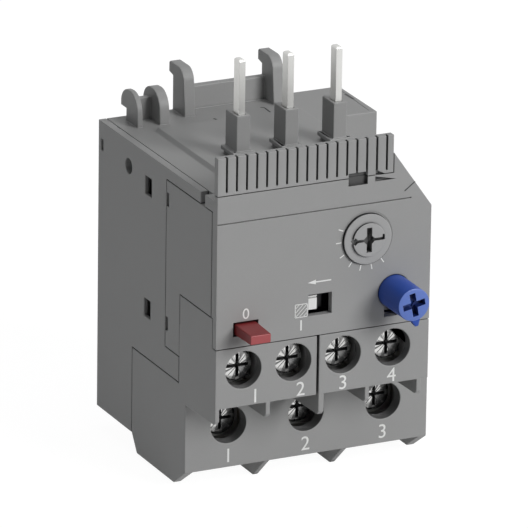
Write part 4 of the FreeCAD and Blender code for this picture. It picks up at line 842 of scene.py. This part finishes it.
class RELAY_OT_markings(bpy.types.Operator):
    """Print the scale ticks, plain numerals and control symbols"""
    bl_idname = "relay.markings"
    bl_label = "Printed marks"

    def execute(self, context):
        marks = bmesh.new()
        tick_circle = 5.15
        for angle in (157, 182, 210, 235, 258, 281, 305):
            turn = math.radians(angle)
            x, z = DIAL_AXIS[0] + tick_circle * math.cos(turn), DIAL_AXIS[1] + tick_circle * math.sin(turn)
            self.bar(marks, corner(x, COVER_FACE, z), 0.95, 0.17, -turn)
        # arrow over the test window
        self.bar(marks, corner(19.5, COVER_FACE, 38.25), 2.8, 0.22, 0.0)
        wedge(marks, ((18.1, 37.85), (18.1, 38.65), (16.6, 38.25)), COVER_FACE + sizes().mark_thick / MM,
              COVER_FACE)
        self.hatched_square(marks)
        bmesh.ops.remove_doubles(marks, verts=marks.verts, dist=MERGE)
        to_object("printed_marks", marks, plastic("white_print"), "relay")
        self.fine_slots()
        for text, x in (("1", 7.3), ("2", 15.6), ("3", 23.4), ("4", 32.4)):
            self.numeral(f"aux_numeral_{text}", text, corner(x, COVER_FACE, 19.7), 1.0)
        for text, x in (("1", 8.0), ("2", 22.3), ("3", 36.7)):
            self.numeral(f"main_numeral_{text}", text, corner(x, TIER_FACE, 5.0), 1.0)
        self.numeral("stop_mark", "0", corner(5.4, COVER_FACE, 34.4), 0.75)
        self.numeral("on_mark", "I", corner(15.5, COVER_FACE, 30.9), 0.75)
        return {"FINISHED"}

    def bar(self, bm, centre, length, width, turn):
        """A printed line of the given mm, standing on the face at centre."""
        thick = sizes().mark_thick
        block(bm, (length * MM, thick, width * MM), centre - Vector((0, thick / 2, 0)), turn)

    def fine_slots(self):
        """Hairline slots of the mouldings, drawn as thin dark strips on the faces they open in, and dark
        plates of painted shade in a notch and two seams.
        """
        forward, upward = Vector((0, -1, 0)), Vector((0, 0, 1))
        slots = bmesh.new()
        for start, end, width, outward in (
                ((36.03, COVER_FACE, 53.33), (34.13, COVER_FACE, 51.91), 0.2, forward),
                ((17.92, 7.32, RIM_TOP), (18.42, 8.74, RIM_TOP), 0.35, upward),
                ((27.76, 5.07, RIM_TOP), (28.27, 5.58, RIM_TOP), 0.25, upward),
                ((28.27, 5.58, RIM_TOP), (28.15, 8.88, RIM_TOP), 0.25, upward),
                ((44.05, 4.41, RIM_TOP), (44.19, 7.27, RIM_TOP), 0.45, upward),
                ((44.25, 2.91, RIM_TOP), (43.9, 13.83, RIM_TOP), 0.1, upward),
                ((1.25, 4.9, RIM_TOP), (1.25, 6.2, RIM_TOP), 0.2, upward)):
            first, last = corner(*start), corner(*end)
            side = (last - first).cross(outward).normalized() * width * MM / 2
            for vert in bmesh.ops.create_cube(slots, size=1.0)["verts"]:
                lift = sizes().mark_thick if vert.co.z > 0 else -sizes().mark_thick
                place = last if vert.co.x > 0 else first
                vert.co = place + side * (1 if vert.co.y > 0 else -1) + outward * lift
        # a dark plate in the notch beside the comb: painted shade
        wedge(slots, ((28.93, 54.45), (29.5, 55.7), (30.9, 54.45)), 46.5, 46.4)
        # shade in the seam under the comb and in the seam before the rear housing
        under_comb = ((0.15, 46.1, 55.37), (31.85, 45.75, 55.47))
        before_rear = ((38.2, 27.285, 23.3), (38.8, 27.175, 49.0))
        for first, last in (under_comb, before_rear):
            low, high = corner(*first), corner(*last)
            block(slots, high - low, (low + high) / 2)
        to_object("fine_slots", slots, plastic("dark_inner_plastic"), "relay")

    def hatched_square(self, bm):
        low_x, high_x, low_z, high_z = 14.4, 16.6, 32.45, 34.7
        edge_width, line_width, lines = 0.13, 0.1, 5
        side = high_x - low_x
        for z in (low_z, high_z):
            self.bar(bm, corner((low_x + high_x) / 2, COVER_FACE, z), side, edge_width, 0.0)
        for x in (low_x, high_x):
            self.bar(bm, corner(x, COVER_FACE, (low_z + high_z) / 2), high_z - low_z, edge_width, math.pi / 2)
        for step in range(1, lines + 1):
            offset = step * side * 2 / (lines + 1)
            length = min(offset, 2 * side - offset)
            x = low_x + offset / 2
            z = low_z + side - offset / 2 + 0.02
            self.bar(bm, corner(x, COVER_FACE, z), length * math.sqrt(2) * 0.96, line_width,
                     -math.pi / 4)

    def numeral(self, name, text, centre, scale):
        curve = bpy.data.curves.new(name + "_outline", "FONT")
        curve.body = text
        curve.align_x = "CENTER"
        curve.align_y = "CENTER"
        em_over_height = 1.35
        curve.size = sizes().mark_height * em_over_height * scale
        curve.extrude = sizes().mark_thick
        curve.offset = 0.004 * MM
        carrier = in_scene(name + "_outline", curve)
        bpy.context.view_layer.update()
        flat = bpy.data.meshes.new_from_object(carrier)
        bpy.data.objects.remove(carrier)
        bpy.data.curves.remove(curve)
        bm = bmesh.new()
        bm.from_mesh(flat)
        bpy.data.meshes.remove(flat)
        upright = Matrix.Rotation(math.pi / 2, 3, "X")
        bmesh.ops.rotate(bm, cent=(0, 0, 0), matrix=upright, verts=bm.verts)
        bmesh.ops.translate(bm, vec=centre, verts=bm.verts)
        bmesh.ops.remove_doubles(bm, verts=bm.verts, dist=MERGE)
        to_object(name, bm, plastic("white_print"), "relay")


class RELAY_OT_stage(bpy.types.Operator):
    """Set the pale floor, the soft lamps and the camera"""
    bl_idname = "relay.stage"
    bl_label = "Stage"

    def execute(self, context):
        self.floor()
        self.world()
        self.lamp("key_lamp", place=(0.8, -1.65, 0.9), size=1.0, power=32.0)
        self.lamp("top_lamp", place=(0.1, -0.1, 1.35), size=0.9, power=4.3)
        self.lamp("left_lamp", place=(-1.3, -0.45, 0.4), size=0.9, power=0.35)
        self.camera()
        context.scene.view_settings.view_transform = "Standard"
        return {"FINISHED"}

    def floor(self):
        bm = bmesh.new()
        bmesh.ops.create_grid(bm, x_segments=1, y_segments=1, size=3.0)
        mesh = bpy.data.meshes.new("pale_floor")
        bm.to_mesh(mesh)
        bm.free()
        plane = in_scene("pale_floor", mesh)
        material = bpy.data.materials.new("floor_paper")
        material.use_nodes = True
        nodes, links = material.node_tree.nodes, material.node_tree.links
        paper = nodes["Principled BSDF"]
        paper.inputs["Base Color"].default_value = (0.6, 0.6, 0.6, 1.0)
        paper.inputs["Roughness"].default_value = 0.9
        glow = nodes.new("ShaderNodeEmission")
        glow.inputs["Color"].default_value = (1, 1, 1, 1)
        glow.inputs["Strength"].default_value = 1.17
        wiring = Wiring(material.node_tree)
        share = wiring.maths("MULTIPLY", wiring.seen(), 0.82)
        mixed = wiring.mix_shaders(share, paper.outputs["BSDF"], glow.outputs["Emission"])
        links.new(mixed, nodes["Material Output"].inputs["Surface"])
        mesh.materials.append(material)

    def world(self):
        world = bpy.data.worlds.new("pale_studio")
        bpy.context.scene.world = world
        world.use_nodes = True
        nodes, links = world.node_tree.nodes, world.node_tree.links
        light = nodes["Background"]
        light.inputs["Color"].default_value = (0.9, 0.95, 1.0, 1.0)
        light.inputs["Strength"].default_value = 0.1
        white = nodes.new("ShaderNodeBackground")
        white.inputs["Color"].default_value = (1, 1, 1, 1)
        white.inputs["Strength"].default_value = 1.0
        wiring = Wiring(world.node_tree)
        mixed = wiring.mix_shaders(wiring.seen(), light.outputs["Background"], white.outputs["Background"])
        links.new(mixed, nodes["World Output"].inputs["Surface"])

    def lamp(self, name, place, size, power):
        data = bpy.data.lights.new(name, "AREA")
        data.shape = "DISK"
        data.size = size
        data.energy = power
        lamp = in_scene(name, data)
        lamp.location = place
        relay_middle = Vector((0, 0, 35 * MM))
        aim = relay_middle - Vector(place)
        lamp.rotation_euler = aim.to_track_quat("-Z", "Y").to_euler()

    def camera(self):
        """The photograph's viewpoint, found from the relay's corners."""
        around, up, roll = (math.radians(angle) for angle in (-25.955, 19.59, 0.886))
        target, distance = corner(22.5, 25.0, 34.4), 1.3115
        # the photograph's width, focal length and principal point in pixels, and the sensor's width in mm
        pixels, focal, across, down, sensor = 528, 7830.24, 281.783, 259.199, 36.0
        back = Vector((math.sin(around) * math.cos(up), -math.cos(around) * math.cos(up), math.sin(up)))
        level = Vector((math.cos(around), math.sin(around), 0))
        rise = back.cross(level)
        right = level * math.cos(roll) + rise * math.sin(roll)
        above = rise * math.cos(roll) - level * math.sin(roll)
        data = bpy.data.cameras.new("camera")
        data.sensor_width = sensor
        data.lens = sensor * focal / pixels
        data.shift_x = (pixels / 2 - across) / pixels
        data.shift_y = (down - pixels / 2) / pixels
        data.clip_start = 0.05
        data.clip_end = 20.0
        view = in_scene("camera", data)
        pose = Matrix((right, above, back)).transposed().to_4x4()
        pose.translation = target + back * distance
        view.matrix_world = pose
        bpy.context.scene.camera = view


class RELAY_PT_panel(bpy.types.Panel):
    """Lists the relay's pieces"""
    bl_idname = "RELAY_PT_panel"
    bl_label = "Relay"
    bl_space_type = "VIEW_3D"
    bl_region_type = "UI"
    bl_category = "Relay"

    def draw(self, context):
        for name in RelaySizes.__annotations__:
            self.layout.prop(context.scene.relay_sizes, name)
        for name in RelayColours.__annotations__:
            self.layout.prop(context.scene.relay_colours, name)
        for operator in OPERATORS:
            self.layout.operator(operator.bl_idname)


OPERATORS = (RELAY_OT_stage, RELAY_OT_casing, RELAY_OT_pins, RELAY_OT_terminal_screws, RELAY_OT_clamps,
             RELAY_OT_inner_parts, RELAY_OT_dial, RELAY_OT_reset_button, RELAY_OT_stop_button,
             RELAY_OT_test_slider, RELAY_OT_markings)
CLASSES = (RelaySizes, RelayColours) + OPERATORS + (RELAY_PT_panel,)


def register():
    for item in CLASSES:
        bpy.utils.register_class(item)
    bpy.types.Scene.relay_sizes = bpy.props.PointerProperty(type=RelaySizes)
    bpy.types.Scene.relay_colours = bpy.props.PointerProperty(type=RelayColours)


def unregister():
    del bpy.types.Scene.relay_colours
    del bpy.types.Scene.relay_sizes
    for item in reversed(CLASSES):
        bpy.utils.unregister_class(item)


def main():
    register()
    bpy.ops.relay.stage()
    bpy.ops.relay.casing()
    bpy.ops.relay.pins()
    bpy.ops.relay.terminal_screws()
    bpy.ops.relay.clamps()
    bpy.ops.relay.inner_parts()
    bpy.ops.relay.dial()
    bpy.ops.relay.reset_button()
    bpy.ops.relay.stop_button()
    bpy.ops.relay.test_slider()
    bpy.ops.relay.markings()


if __name__ == "__main__":
    main()
